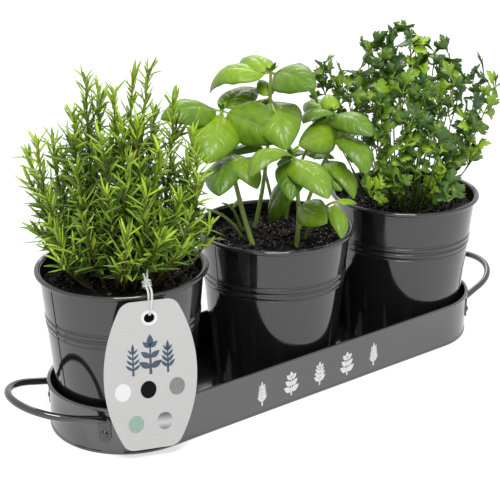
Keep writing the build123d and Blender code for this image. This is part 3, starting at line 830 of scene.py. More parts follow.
def grow_rosemary():
    """The whole bush. A tall sprig has more side shoots than a short one."""
    herb = HerbMesh()
    rng = random.Random(21)
    place = pot_places["left"]
    for shares in rosemary_tip_shares:
        foot, tip = stem_ends(place, rosemary_spread, rosemary_height, shares)
        tip -= (tip - foot).normalized() * needle_clearance
        span = level_span(foot, tip)
        wander = Vector((rng.uniform(-0.007, 0.007), rng.uniform(-0.007, 0.007), 0))
        middle = (foot + tip) / 2 + span * 0.17 - Vector((0, 0, span.length * 0.17)) + wander
        line = bend(foot, middle, tip, sprig_steps)
        grow_sprig(herb, line, rng)
        for share in shoot_shares[: 1 + int(shares[2] > 0.35) + int(shares[2] > 0.6)]:
            grow_shoot(herb, line, share, place, rng)
    return herb.piece("rosemary_bush")


rosemary = grow_rosemary()


# %% Rosemary finish
def rosemary_finish():
    """Deep green needles, yellow-green tips that are partly young growth and partly painted light, and
    brown stems, whose tint is below 0.
    """
    material, tree = new_material(
        "rosemary_green", Specular_IOR_Level=0.5, Subsurface_Weight=0.1,
        Subsurface_Radius=(0.5, 1, 0.2), Subsurface_Scale=0.0012,
    )
    values = {"Deep": (0.022, 0.082, 0.005), "Fresh": (0.49, 0.72, 0.050)}
    skin = add_group(tree, living_green, Mottle=0.35, Gloss=0.38, Matt=0.6, **values)
    woody = add_range(tree, stored_value(tree, "tint"), -0.5, 0, 1, 0)
    colour = add_mix(tree, woody, skin["Colour"], (0.15, 0.11, 0.035))
    bump = add_bump(tree, add_noise(tree, 1900, 3), 0.25, 0.0003)
    return feed_shader(material, Base_Color=colour, Roughness=skin["Roughness"], Normal=bump)


finish_piece(rosemary, "plant_left", rosemary_finish(), ["rosemary"])

# %% [markdown]
# ## Basil
# A basil leaf is large, soft and glossy. It arches along its length, its two halves are puffed
# up between the side veins, and its edge rolls down. A flat grid is the blank for every leaf.
# Each copy is shaped by its own length, arch and width, and a Solidify modifier gives all
# the blades their thickness.


# %% Leaf blank
def model_leaf_blank(along, across):
    """A flat grid from 0 to 1 along X and from -1 to 1 along Y."""
    grid = bpy.ops.mesh.primitive_grid_add
    blank = add_shape(grid, x_subdivisions=along, y_subdivisions=across, size=2)
    points, faces = take_shape(blank, "leaf blank")
    points[:, 0] = points[:, 0] / 2 + 0.5
    return points, faces


blank_points, blank_faces = model_leaf_blank(30, 18)


# %% Stems and leaves, as in the CAD tables
basil_spread = 0.057
basil_height = 0.118
basil_stem_shares = {
    "tall": ((0, 0.40, 0), (0.11, 0.30, 0.41), (0.01, 0.10, 0.95)),
    "left": ((-0.37, -0.09, 0), (-0.45, 0.15, 0.33), (-0.42, 0.47, 0.73)),
    "front": ((-0.02, -0.43, 0), (-0.02, -0.46, 0.27), (-0.09, -0.42, 0.54)),
    "right": ((0.39, 0.03, 0), (0.58, -0.10, 0.33), (0.77, -0.28, 0.59)),
    "low": ((0.25, -0.25, 0), (0.14, -0.62, 0.20), (0.19, -0.84, 0.30)),
    "bare": ((-0.28, 0.25, 0), (-0.52, 0.23, 0.13), (-0.65, 0.46, 0.17)),
    "far_right": ((0.50, 0.40, 0), (0.52, 0.15, 0.38), (0.75, -0.15, 0.69)),
    "seedling": ((-0.15, 0.45, 0), (-0.28, 0.37, 0.10), (-0.40, 0.30, 0.17)),
    "back": ((0.38, 0.42, 0), (0.25, 0.60, 0.40), (0.14, 0.79, 0.64)),
}
# Stem, share of the way up it, azimuth, pitch and roll, the share of the longest leaf,
# and half the leaf's width and its arch as shares of its length
basil_leaf_shares = [
    ("tall", 1.00, 118, -23, 14, 0.96, 0.33, 0.26),
    ("tall", 1.00, 82, 1, 8, 0.76, 0.30, 0.14),
    ("tall", 1.00, -88, -4, -38, 0.88, 0.33, 0.14),
    ("tall", 1.00, -5, -35, -20, 0.92, 0.27, 0.20),
    ("tall", 0.84, 83, 5, -12, 0.40, 0.30, 0.10),
    ("tall", 0.84, -114, -30, -16, 0.98, 0.37, 0.16),
    ("left", 1.00, 178, 1, 30, 0.94, 0.33, 0.18),
    ("left", 1.00, -139, -30, 14, 0.98, 0.40, 0.14),
    ("left", 1.00, -74, -12, -54, 1.10, 0.31, 0.12),
    ("left", 1.00, 16, 11, -6, 0.78, 0.36, 0.14),
    ("left", 0.72, -99, -22, 4, 0.84, 0.31, 0.14),
    ("left", 0.72, -135, -25, -16, 0.88, 0.36, 0.12),
    ("left", 0.72, 13, -13, 28, 0.72, 0.33, 0.14),
    ("front", 1.00, -130, -28, 0, 0.80, 0.29, 0.12),
    ("front", 1.00, -164, -5, -10, 0.90, 0.30, 0.26),
    ("front", 1.00, -101, -18, -2, 1.00, 0.31, 0.14),
    ("front", 0.84, 93, -61, 72, 0.96, 0.27, 0.12),
    ("front", 0.50, -99, -4, -46, 0.72, 0.33, 0.14),
    ("right", 1.00, 89, 6, 16, 0.60, 0.33, 0.12),
    ("right", 1.00, -174, -2, 62, 0.82, 0.31, 0.12),
    ("right", 1.00, -109, -23, 12, 0.92, 0.31, 0.20),
    ("right", 1.00, 22, -58, -30, 0.62, 0.33, 0.12),
    ("right", 0.72, -112, -23, -22, 0.70, 0.33, 0.14),
    ("right", 0.72, -102, -25, 18, 0.84, 0.29, 0.18),
    ("far_right", 1.00, -93, -10, -12, 0.84, 0.33, 0.16),
    ("far_right", 1.00, 85, -3, 20, 0.68, 0.33, 0.12),
    ("far_right", 1.00, -167, -2, -4, 0.66, 0.33, 0.18),
    ("low", 1.00, -122, -26, 22, 0.66, 0.27, 0.14),
    ("tall", 1.00, 85, -7, 0, 0.72, 0.33, 0.14),
    ("tall", 0.84, 74, 21, 0, 0.40, 0.33, 0.14),
    ("tall", 0.84, 89, -38, 0, 0.68, 0.33, 0.14),
    ("left", 0.72, 79, -20, 0, 0.60, 0.33, 0.14),
    ("left", 1.00, 120, -15, 0, 0.60, 0.33, 0.14),
    ("front", 1.00, 69, -39, 0, 0.48, 0.33, 0.14),
    ("right", 0.72, 56, -17, 0, 0.52, 0.33, 0.14),
    ("far_right", 1.00, 60, 18, 0, 0.44, 0.33, 0.14),
    ("far_right", 0.61, 78, -19, 0, 0.60, 0.33, 0.14),
    ("far_right", 0.61, 30, -21, -10, 0.52, 0.33, 0.14),
    ("low", 1.00, -10, -14, 0, 0.36, 0.33, 0.14),
    ("back", 1.00, 89, -34, 0, 0.68, 0.33, 0.14),
    ("back", 1.00, -99, 8, 0, 0.52, 0.33, 0.14),
    ("back", 1.00, 63, 31, 0, 0.40, 0.33, 0.14),
    ("back", 0.60, -152, 1, 0, 0.52, 0.33, 0.14),
    ("seedling", 1.00, 173, 32, 0, 0.20, 0.33, 0.14),
    ("seedling", 1.00, -16, 37, 0, 0.20, 0.33, 0.14),
]
basil_leaf_length = 0.050
stem_step = 0.0015
vein_pairs = 5.5
vein_lean = 0.30


# %% Shape of a stem and of a leaf
def stem_arc(shares):
    """Points along the arc through the three points of a stem."""
    foot, middle, tip = [herb_point(0, basil_spread, basil_height, share) for share in shares]
    foot -= root_depth
    return even_line(bend(foot, middle * 2 - (foot + tip) / 2, tip, 24), stem_step)


def leaf_axes(azimuth, pitch, roll):
    """Heading, side and upper directions of a leaf, as the CAD plane has them."""
    turn, rise, lean = (math.radians(angle) for angle in (azimuth, pitch, roll))
    heading = Vector((math.cos(turn) * math.cos(rise), math.sin(turn) * math.cos(rise), math.sin(rise)))
    level = Vector((-math.sin(turn), math.cos(turn), 0))
    upper = turned(heading.cross(level), level, lean)
    return heading, upper.cross(heading), upper


def basil_blade(length, half, arch, skew, cup, seed):
    """Columns of one leaf's points over its own plane: X to the tip, Y across, Z up."""
    u, v = blank_points[:, 0], blank_points[:, 1]
    outline = np.clip(u, 0.004, 1) ** 0.62 * np.clip(1 - u, 0.003, 1) ** 0.80
    width = half * outline / 0.4075
    side = np.abs(v)
    # The arch, the puffs between side veins, the edge rolled down, the sunken midrib, the waves
    z = arch * length * 4 * u * (1 - u) * (1 + skew * (u - 0.5))
    puff = np.abs(np.sin((u - vein_lean * side) * math.pi * vein_pairs))
    z += 0.009 * length * puff * np.sin(side * math.pi) ** 0.8 * np.sin(u * math.pi) ** 0.5
    z -= cup * width * side**2.2
    z -= 0.016 * length * np.exp(-((v / 0.10) ** 2)) * np.sin(u * math.pi) ** 0.4
    wave = np.sin(u * 17 + seed * 2.1 + v) + 0.6 * np.sin(u * 29 + seed)
    z += 0.010 * length * wave * side**3 * np.sin(u * math.pi)
    x = u * length - 0.05 * length * side * np.sin(u * math.pi)
    return x, v * width * (1 - 0.12 * cup * side**2), z


# %% Grow the basil
stalk_share = 0.10
crowned_stems = ("tall", "left", "front", "right", "far_right", "back")
crown_leaves = 4
foot_radii = {"tall": 0.0016, "left": 0.0018, "front": 0.0017, "right": 0.0016}
thin_foot_radius = 0.0013


def grow_basil():
    """The stems with their stalks, and the leaves with the small ones at each crown."""
    stems, leaves = HerbMesh(), HerbMesh()
    rng = random.Random(5)
    lines = {name: stem_arc(shares) for name, shares in basil_stem_shares.items()}
    for name, line in lines.items():
        foot_radius = foot_radii.get(name, thin_foot_radius)
        stems.add_stem(line, foot_radius, foot_radius * 0.65, 1.35, 10)

    def set_leaf(base, axes, length, half, arch, skew, cup, tint):
        heading, _, upper = axes
        stalk_length = length * stalk_share
        blade = basil_blade(length - stalk_length, half, arch, skew, cup, rng.uniform(0, 6))
        start = base + heading * stalk_length + upper * 0.0004
        leaves.add(lay_out(blade, axes) + np.array(start), blank_faces, tint)
        elbow = base + heading * stalk_length * 0.6
        stems.add_stem(bend(base, elbow, start + heading * stalk_length * 0.4, 5), 0.0008, 0.0006, 1.3)

    for name, share, azimuth, pitch, roll, length_share, half_share, bow_share in basil_leaf_shares:
        line = lines[name]
        length = length_share * basil_leaf_length
        arch = bow_share * rng.uniform(1.0, 1.15)
        skew = rng.uniform(0.1, 0.6)
        cup = rng.uniform(0.30, 0.50)
        tint = 0.75 if length_share < 0.45 else rng.uniform(0.2, 0.65)
        base = line[round(share * (len(line) - 1))]
        axes = leaf_axes(azimuth, pitch, roll)
        set_leaf(base, axes, length, length * half_share, arch, skew, cup, tint)
    for name in crowned_stems:
        for step in range(crown_leaves):
            azimuth = step * 360 / crown_leaves + rng.uniform(-25, 25)
            length = rng.uniform(0.005, 0.009)
            axes = leaf_axes(azimuth, rng.uniform(25, 60), 0)
            set_leaf(lines[name][-1], axes, length, length * 0.28, 0.1, 0.2, 0.3, 0.95)
    return stems, leaves


basil_stems, basil_leaves = grow_basil()


# %% Give the leaves their thickness
blade_thickness = 0.0005


def finish_basil(stems, leaves):
    """Thicken the blades, mark their undersides and join them with the stems."""
    blades = leaves.piece("basil_blades")
    copies = len(leaves.points) // len(blank_points)
    corners = np.zeros(len(blades.data.loops), dtype=np.int32)
    blades.data.loops.foreach_get("vertex_index", corners)
    flat = np.tile(np.stack([blank_points[:, 0], blank_points[:, 1] / 2 + 0.5], axis=1), (copies, 1))
    leaf_map = blades.data.uv_layers.new(name="leaf")
    leaf_map.data.foreach_set("uv", flat[corners].ravel())
    upper_points = len(blades.data.vertices)
    thicken(blades, blade_thickness)
    values = np.zeros(len(blades.data.vertices), dtype=np.float32)
    values[upper_points:] = 1
    blades.data.attributes["under"].data.foreach_set("value", values)
    stalks = stems.piece("basil_stalks")
    stalks.data.uv_layers.new(name="leaf")
    stalks.select_set(True)
    bpy.ops.object.join()
    blades.name = blades.data.name = "basil_plant"
    blades.data.shade_smooth()
    return blades


basil = finish_basil(basil_stems, basil_leaves)


# %% Veins of a leaf
def build_leaf_veins():
    """Masks of the midrib, the side veins and a darker green towards the tip and the rim, from a leaf's own
    map.
    """
    inputs = {"Pairs": vein_pairs, "Lean": vein_lean, "Fineness": 0.10}
    outputs = {"Veins": "Float", "Height": "Float", "Edge": "Float"}
    group, given, leave = new_group("leaf_veins", inputs, outputs)

    def number(operation, first, second=0.0):
        return add_math(group, operation, first, second)

    leaf_map = add_node(group, "UVMap", uv_map="leaf").outputs["UV"]
    place = add_node(group, "SeparateXYZ", Vector=leaf_map).outputs
    side = number("MULTIPLY", number("ABSOLUTE", number("SUBTRACT", place["Y"], 0.5)), 2)
    slant = number("SUBTRACT", place["X"], number("MULTIPLY", side, given["Lean"]))
    phase = number("FRACT", number("MULTIPLY", slant, given["Pairs"]))
    near = number("SUBTRACT", 0.5, number("ABSOLUTE", number("SUBTRACT", phase, 0.5)))
    thin = number("MULTIPLY", given["Fineness"], number("SUBTRACT", 1.25, side))
    side_vein = number("SUBTRACT", 1, number("DIVIDE", near, thin))
    side_vein = number("MULTIPLY", number("MAXIMUM", side_vein, 0), 0.55)
    rib_width = number("MULTIPLY", number("SUBTRACT", 1.15, place["X"]), 0.075)
    rib = number("SUBTRACT", 1, number("DIVIDE", side, rib_width))
    veins = number("MAXIMUM", side_vein, number("MAXIMUM", rib, 0))
    toward_tip = add_range(group, place["X"], 0.15, 0.95, 0, 0.65)
    border = number("MULTIPLY", number("MULTIPLY", side, side), 0.55)
    edge = number("ADD", toward_tip, border)
    set_node(group, leave, {"Veins": veins, "Height": number("SUBTRACT", 1, veins), "Edge": edge})
    return group


# %% Basil finish
def basil_finish():
    """Fresh glossy green with pale veins. Stems and stalks, whose tint is above 1, are paler."""
    material, tree = new_material(
        "basil_green", Specular_IOR_Level=0.42, Subsurface_Weight=0.2,
        Subsurface_Radius=(0.5, 1, 0.15), Subsurface_Scale=0.0015,
    )
    values = {"Deep": (0.050, 0.150, 0.006), "Fresh": (0.46, 0.70, 0.022), "Under": (0.13, 0.26, 0.045)}
    skin = add_group(tree, living_green, Mottle=0.22, Gloss=0.30, Matt=0.6, **values)
    veins = add_group(tree, build_leaf_veins())
    # The leaf turns a darker green towards its tip and its rim.
    edge = add_math(tree, "MULTIPLY", veins["Edge"], 0.62)
    colour = add_mix(tree, edge, skin["Colour"], (0.055, 0.155, 0.012))
    pale = add_math(tree, "MULTIPLY", veins["Veins"], 0.28)
    colour = add_mix(tree, pale, colour, (0.42, 0.60, 0.16))
    stalk = add_range(tree, stored_value(tree, "tint"), 1.0, 1.4, 0, 1)
    colour = add_mix(tree, stalk, colour, (0.40, 0.52, 0.13))
    crease = add_bump(tree, veins["Height"], 0.5, 0.0006)
    bump = add_bump(tree, add_noise(tree, 620, 3), 0.25, 0.0004, Normal=crease)
    return feed_shader(material, Base_Color=colour, Roughness=skin["Roughness"], Normal=bump)


finish_piece(basil, "plant_middle", basil_finish(), ["basil"])

# %% [markdown]
# ## Parsley
# Flat parsley has thin stalks that each carry a leaf of three leaflets, and every leaflet has
# three toothed lobes. One leaflet is cut from a disc, thickened and then copied. Each copy is
# folded along its middle and curled by its own amount.

# %% Model one leaflet
leaflet_half = [
    (0.00, 0.03), (0.28, 0.11), (0.40, 0.36), (0.60, 0.48), (0.62, 0.36), (0.76, 0.38),
    (0.61, 0.14), (0.80, 0.24), (0.88, 0.13), (1.00, 0.00),
]
leaflet_centre = 0.42
leaflet_thickness = 0.022


def model_leaflet():
    """A leaflet with three toothed lobes, one unit long along X."""
    half = leaflet_half
    outline = half + [(x, -y) for x, y in reversed(half[:-1])]
    disc = bpy.ops.mesh.primitive_circle_add
    leaflet = add_shape(disc, vertices=len(outline), radius=1, fill_type="TRIFAN")
    rim = [vertex for vertex in leaflet.data.vertices if vertex.co.length > 0.5]
    middle = [vertex for vertex in leaflet.data.vertices if vertex.co.length <= 0.5]
    rim.sort(key=lambda vertex: math.atan2(vertex.co.y, vertex.co.x))
    order = sorted(outline, key=lambda point: math.atan2(point[1], point[0] - leaflet_centre))
    for vertex, (x, y) in zip(rim, order):
        vertex.co = (x, y, 0)
    middle[0].co = (leaflet_centre, 0, 0)
    thicken(leaflet, leaflet_thickness)
    return take_shape(leaflet, "leaflet")


leaflet_points, leaflet_faces = model_leaflet()
leaflet_under = [float(index >= len(leaflet_points) // 2) for index in range(len(leaflet_points))]

# %% Stalks and leaves, as in the CAD table
parsley_spread = 0.055
parsley_height = 0.127
parsley_tip_shares = [
    (-0.80, 0.90, 0.77), (-0.80, 0.60, 0.74), (-0.35, 0.45, 0.90), (-0.15, 0.30, 0.97),
    (0.00, 0.00, 1.00), (0.35, 0.25, 0.89), (0.40, -0.05, 0.87), (0.35, -0.35, 0.87),
    (0.75, -0.25, 0.72), (0.80, -0.55, 0.74), (0.80, -0.75, 0.69), (-0.35, -0.05, 0.77),
    (-0.40, 0.15, 0.85), (-0.65, 0.25, 0.80), (0.00, -0.35, 0.77), (0.20, -0.60, 0.75),
    (-0.90, 0.20, 0.69), (-0.45, -0.35, 0.72), (-0.25, -0.55, 0.71), (-0.05, -0.65, 0.67),
    (0.55, -0.75, 0.58), (0.35, -0.80, 0.51), (-0.55, -0.60, 0.57), (-0.35, -0.75, 0.51),
    (-0.75, -0.25, 0.67), (-0.80, -0.20, 0.50), (0.60, -0.75, 0.35), (0.05, -0.75, 0.26),
    (-0.70, -0.60, 0.45), (-0.25, -0.85, 0.42), (-0.05, -0.70, 0.17), (-0.10, -0.90, 0.14),
    (-0.80, -0.20, 0.15), (-0.65, -0.50, 0.23), (-0.60, -0.25, 0.28), (-0.45, -0.65, 0.31),
    (0.15, -0.80, 0.38), (0.20, 0.70, 0.70), (-0.20, 0.80, 0.60), (0.55, 0.55, 0.65),
    (0.70, 0.20, 0.50), (0.45, 0.85, 0.40), (0.00, 0.95, 0.45), (-0.50, 0.95, 0.40),
    (0.80, 0.05, 0.30), (0.10, 0.45, 0.88),
]
golden_turn = 137.5
stalk_steps = 8
crown_leaf = 0.0160
side_leaf = 0.0148
# The three leaflets of a leaf: turn to the side, stalk and size as shares of the leaf
leaflet_plan = ((0, 0.22, 1.0), (62, 0.08, 0.88), (-62, 0.08, 0.88))
# Leaves below the tip: share of the way up, turn, and one on every first, second or third stalk
side_leaf_plan = ((0.92, 150, 1), (0.80, 60, 1), (0.68, -75, 2), (0.55, 100, 3))


# %% Set one leaf of parsley
def set_leaflet(herb, base, axes, length, tint, rng):
    """Copy the leaflet onto the end of a stalk, folded and curled."""
    x, y, z = leaflet_points.T
    y = y * rng.uniform(0.72, 1.0)
    z = z + rng.uniform(-0.15, 0.4) * np.abs(y) - rng.uniform(0, 0.35) * x**2
    z += 0.06 * np.sin(x * 9 + rng.uniform(0, 6)) * np.sign(y) * (np.abs(y) > 0.2)
    herb.add(lay_out((x, y, z), axes) * length + np.array(base), leaflet_faces, tint, leaflet_under)


def fan_axes(azimuth, rise, spin):
    """Heading, side and upper directions of a leaf whose upper side looks outwards."""
    turn, lift, lean = (math.radians(angle) for angle in (azimuth, rise, spin))
    up = Vector((0, 0, 1))
    out = Vector((math.cos(turn), math.sin(turn), 0))
    along = Vector((-math.sin(turn), math.cos(turn), 0))
    upper = turned(out, up, lift)
    heading = turned(turned(up, -out, lift), along, lean)
    return heading, upper.cross(heading), upper


def set_parsley_leaf(herb, tip, azimuth, rise, spin, size, tint, rng):
    """Three leaflets on short stalks: one ahead and one to each side."""
    for turn, reach, scale in leaflet_plan:
        outwards = azimuth + rng.uniform(-28, 28) + turn * 0.35
        axes = fan_axes(outwards, rise + rng.uniform(-22, 22), spin + turn + rng.uniform(-14, 14))
        base = tip + axes[0] * size * reach
        stalk = bend(tip, (tip + base) / 2, base + axes[0] * size * 0.12, 3)
        herb.add_stem(stalk, 0.0005, 0.0003, 0.55, 4)
        length = size * scale * rng.uniform(0.85, 1.1)
        set_leaflet(herb, base, axes, length, tint + rng.uniform(-0.14, 0.14), rng)


# %% Grow the parsley
def grow_parsley():
    """All stalks and leaves, with more leaves on short side stalks below each tip."""
    herb = HerbMesh()
    rng = random.Random(11)
    for index, shares in enumerate(parsley_tip_shares):
        foot, tip = stem_ends(pot_places["right"], parsley_spread, parsley_height, shares)
        azimuth = math.degrees(math.atan2(shares[1], shares[0]))
        wander = math.sin(math.radians(index * golden_turn))
        line = bend(foot, (foot + tip) / 2 + level_span(foot, tip) * 0.08, tip, stalk_steps)
        herb.add_stem(line, 0.0006, 0.0004, 0.15, 5)
        tint = rng.uniform(0.6, 1.0) if rng.random() < 0.30 else rng.uniform(-0.05, 0.50)
        crown, rise = tip - Vector((0, 0, 0.003)), rng.uniform(5, 50)
        set_parsley_leaf(herb, crown, azimuth + 35 * wander, rise, 30 * wander, crown_leaf, tint, rng)
        for share, turn, every in side_leaf_plan:
            if index % every:
                continue
            spot = line[round(share * stalk_steps)]
            side_azimuth = azimuth + turn * (1 if index % 2 else -1) + 30 * wander
            end = spot + leaf_axes(side_azimuth, 40, 0)[0] * 0.006
            herb.add_stem(bend(spot, (spot + end) / 2, end, 3), 0.0005, 0.0004, 0.4, 4)
            side_tint = tint * 0.8 + rng.uniform(-0.05, 0.1)
            rise, spin = rng.uniform(0, 55), rng.uniform(-35, 35)
            set_parsley_leaf(herb, end, side_azimuth, rise, spin, side_leaf, side_tint, rng)
    return herb.piece("parsley_plant")


parsley = grow_parsley()


# %% Parsley finish
def parsley_finish():
    """Deep, slightly blue green with a soft shine, and a few yellow-green young leaves."""
    material, tree = new_material(
        "parsley_green", Specular_IOR_Level=0.5, Subsurface_Weight=0.12,
        Subsurface_Radius=(0.5, 1, 0.15), Subsurface_Scale=0.001,
    )
    values = {"Deep": (0.016, 0.074, 0.004), "Fresh": (0.46, 0.72, 0.040), "Under": (0.10, 0.20, 0.04)}
    skin = add_group(tree, living_green, Mottle=0.3, Gloss=0.33, Matt=0.6, **values)
    bump = add_bump(tree, add_noise(tree, 900, 3), 0.35, 0.0004)
    return feed_shader(
        material, Base_Color=skin["Colour"], Roughness=skin["Roughness"], Normal=bump
    )


finish_piece(parsley, "plant_right", parsley_finish(), ["parsley"])

# %% [markdown]
# ## Cord finish
# The cord is white cotton. Its plies are modelled, and a fine noise stands for their fibres.


# %% Cotton cord
def cotton_finish():
    """White cotton with faint fibres, and painted shade that greys the hollows between them."""
    material, tree = new_material("white_cotton", Roughness=0.85, Sheen_Weight=0.3)
    fibres = add_noise(tree, 2400, 4)
    # Painted shade: where the fibre bump is low, the cotton turns grey as if the hollows were shaded.
    shade = add_range(tree, fibres, 0.3, 0.7, 0, 1)
    colour = add_mix(tree, shade, (0.74, 0.74, 0.73), (0.90, 0.90, 0.89))
    return feed_shader(material, Base_Color=colour, Normal=add_bump(tree, fibres, 0.5, 0.0002))


white_cotton = cotton_finish()
finish_piece(tag_cord, "plant_left", white_cotton, ["tag_cord"])
finish_piece(cord_knot, "plant_left", white_cotton, ["cord_knot"])

# %% [markdown]
# ## Tag
# The tag is pale grey card with a fine laid grain. It has a white eyelet, a row of three
# small sprigs in slate ink and five round colour samples. The card and the eyelet come from
# the CAD model, and the printing is a thin layer of its own on the card.


# %% Card and eyelet finishes
def card_finish():
    """Pale grey card with fine laid lines across it."""
    material, tree = new_material("laid_card", Roughness=0.72, IOR=1.45)
    place = add_node(tree, "TexCoord").outputs["Object"]
    across_tag = (0, 0, math.radians(21))
    stretch = add_node(tree, "Mapping", Vector=place, Rotation=across_tag, Scale=(160, 160, 2600))
    laid = add_noise(tree, 1.0, 3.0, stretch.outputs["Vector"])
    shade = add_range(tree, laid, 0.3, 0.7, 0, 1)
    colour = add_mix(tree, shade, (0.64, 0.64, 0.63), (0.70, 0.70, 0.69))
    return feed_shader(material, Base_Color=colour, Normal=add_bump(tree, laid, 0.2, 0.0001))


def plain_finish(name, colour, second, roughness, scale=500, **settings):
    """A small finish with a soft mottle between two near colours."""
    material, tree = new_material(name, Roughness=roughness, **settings)
    mottle = add_range(tree, add_noise(tree, scale, 4), 0.35, 0.65, 0, 1)
    bump = add_bump(tree, mottle, 0.12, 0.0001)
    return feed_shader(material, Base_Color=add_mix(tree, mottle, colour, second), Normal=bump)


paint(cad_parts["tag_card"], card_finish())
white_eyelet = plain_finish("white_eyelet", (0.97, 0.97, 0.96), (0.93, 0.93, 0.92), 0.25)
paint(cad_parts["tag_eyelet"], white_eyelet)

# %% Finishes of the printed samples
# Out to the tag's face, up to its middle, along to it and its rows of samples, all in mm
tag_face = 57.1
tag_middle = 55.3
tag_offset = 4.7
sample_width = 0.0048
sample_height = 0.0058
sample_depth = 0.00016
upper_row = -8.6
lower_row = -30.8
reflection_row = -31.8


def flat_print(name, light, dark, roughness=0.5, **settings):
    """Printed colour that hardly changes over its sample."""
    return plain_finish("sample_" + name, light, dark, roughness, **settings)


def silver_print():
    """Printed silver with a painted reflection: grey that runs from a bright band in the middle to dark at
    top and foot.
    """
    material, tree = new_material("sample_silver", Roughness=0.4)
    # Painted reflection: the base colour is brightest in a level band across the sample and dark above and
    # below it.
    centre = (tag_middle + reflection_row) * 0.001
    away = add_math(tree, "ABSOLUTE", add_math(tree, "SUBTRACT", add_height(tree), centre))
    band = add_range(tree, away, 0.0005, sample_height * 0.9, 1, 0)
    grain = add_range(tree, add_noise(tree, 700, 3), 0.3, 0.7, -0.06, 0.06)
    shine = add_math(tree, "ADD", band, grain)
    return feed_shader(material, Base_Color=add_mix(tree, shine, (0.16, 0.16, 0.18), (0.66, 0.66, 0.70)))


# %% Print the samples
matt_black = flat_print("black", (0.001, 0.001, 0.001), (0.003, 0.003, 0.003), 0.6, Specular_IOR_Level=0.12)
samples = {
    "white": (-17.2, upper_row, flat_print("white", (0.98, 0.98, 0.98), (0.96, 0.96, 0.96))),
    "black": (-1.7, upper_row, matt_black),
    "grey": (15.8, upper_row, flat_print("grey", (0.30, 0.30, 0.30), (0.25, 0.25, 0.25))),
    "mint": (-9.8, lower_row, flat_print("mint", (0.36, 0.53, 0.43), (0.32, 0.48, 0.39))),
    "silver": (7.8, lower_row, silver_print()),
}
tag_turn = Matrix((tag_along, (0, 0, 1), tag_out)).transposed().to_4x4()
for name, (along, up, material) in samples.items():
    centre = tag_point(tag_face, tag_offset + along, tag_middle + up)
    sample = add_shape(bpy.ops.mesh.primitive_cylinder_add, vertices=56, radius=1, depth=sample_depth)
    sample.name = "tag_sample_" + name
    bpy.ops.object.mode_set(mode="EDIT")
    bpy.ops.mesh.select_all(action="SELECT")
    bpy.ops.transform.resize(value=(sample_width, sample_height, 1))
    bpy.ops.mesh.bevel(offset=sample_depth / 4, segments=1)
    bpy.ops.object.mode_set(mode="OBJECT")
    sample.data.transform(Matrix.Translation(centre) @ tag_turn)
    finish_piece(sample, "tag", material)


# %% Outlines of leaves and sprigs
def lens_outline(length, width, steps=7):
    """Outline of a pointed leaf along X, as points in its own plane."""
    shares = [step / steps for step in range(steps + 1)]
    upper = [(length * share, width / 2 * math.sin(math.pi * share**0.8)) for share in shares]
    return upper + [(x, -y) for x, y in reversed(upper[1:-1])]


def sprig_shapes(height, pairs, leaf, plump, lean):
    """Closed outlines of a small sprig: a tapered stem, leaf pairs and a leaf at the tip."""
    foot, neck, stem_top = 0.035 * height, 0.015 * height, 0.8 * height
    shapes = [[(-foot, 0), (foot, 0), (neck, stem_top), (-neck, stem_top)]]
    for pair in range(pairs):
        share = pair / max(pairs - 1, 1)
        rise = height * (0.16 + 0.50 * share)
        size = leaf * (1.0 - 0.25 * share)
        for side in (1, -1):
            angle = math.radians(90 - side * lean * (1 - 0.2 * share))
            cosine, sine = math.cos(angle), math.sin(angle)
            outline = [(x + 0.01 * height, y) for x, y in lens_outline(size, size * plump)]
            shapes.append([(x * cosine - y * sine, rise + x * sine + y * cosine) for x, y in outline])
    tip_leaf = lens_outline(height * 0.30, height * 0.30 * plump)
    shapes.append([(-y, height * 0.70 + x) for x, y in tip_leaf])
    return shapes


# %% Print outlines on a surface
def print_shapes(name, shapes, place_point, thickness=0.00012):
    """Thin closed printing: each outline is filled, and thickened to both sides."""
    points, faces = [], []
    for shape in shapes:
        area = sum(a[0] * b[1] - b[0] * a[1] for a, b in zip(shape, shape[1:] + shape[:1]))
        shape = shape if area > 0 else shape[::-1]
        first, count = len(points), len(shape)
        points.extend(place_point(x, y, thickness) for x, y in shape)
        points.extend(place_point(x, y, -thickness) for x, y in shape)
        for a, b, c in tessellate_polygon([[Vector((x, y, 0)) for x, y in shape]]):
            corners = [Vector((*shape[index], 0)) for index in (a, b, c)]
            if (corners[1] - corners[0]).cross(corners[2] - corners[0]).z < 0:
                b, c = c, b
            faces.append((first + a, first + b, first + c))
            faces.append((first + count + c, first + count + b, first + count + a))
        join_rings(faces, first, first + count, count)
    return mesh_piece(name, points, faces, smooth=False)


def on_tag(x, y, out):
    """Point of the tag's face, from its middle, in metres."""
    return tag_point(tag_face + out * 1000, tag_offset + x * 1000, tag_middle + y * 1000)


# %% Sprigs on the tag
tag_ink_depth = 0.00006
tag_sprig_foot = 0.0015
# Shift along the tag, height, pairs of leaves, length of a leaf, its plumpness and its lean
tag_sprigs = [
    (-0.0105, 0.021, 4, 0.0060, 0.30, 50),
    (0, 0.026, 3, 0.0080, 0.52, 58),
    (0.0105, 0.021, 4, 0.0064, 0.34, 42),
]
slate_ink = plain_finish("slate_ink", (0.055, 0.085, 0.125), (0.085, 0.12, 0.165), 0.6, 900)
tag_shapes = []
for shift, *sprig in tag_sprigs:
    for shape in sprig_shapes(*sprig):
        tag_shapes.append([(x + shift, y + tag_sprig_foot) for x, y in shape])
tag_print = print_shapes("tag_sprig_print", tag_shapes, on_tag, tag_ink_depth)
finish_piece(tag_print, "tag", slate_ink)

# %% [markdown]
# ## Printing on the tray
# The front of the tray has a row of white printing. Here it is five small sprigs. Each point
# of their outlines is dropped onto the tray's wall, so the printing follows the metal.

# %% Tray sprigs
tray_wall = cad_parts["tray_wall"]
wall_points = [tray_wall.matrix_world @ vertex.co for vertex in tray_wall.data.vertices]
wall_faces = [tuple(face.vertices) for face in tray_wall.data.polygons]
tray_surface = BVHTree.FromPolygons(wall_points, wall_faces)
before_tray = -0.2
tray_sprig_height = 0.0175
tray_sprig_foot = 0.0052
tray_sprig_step = 0.0245
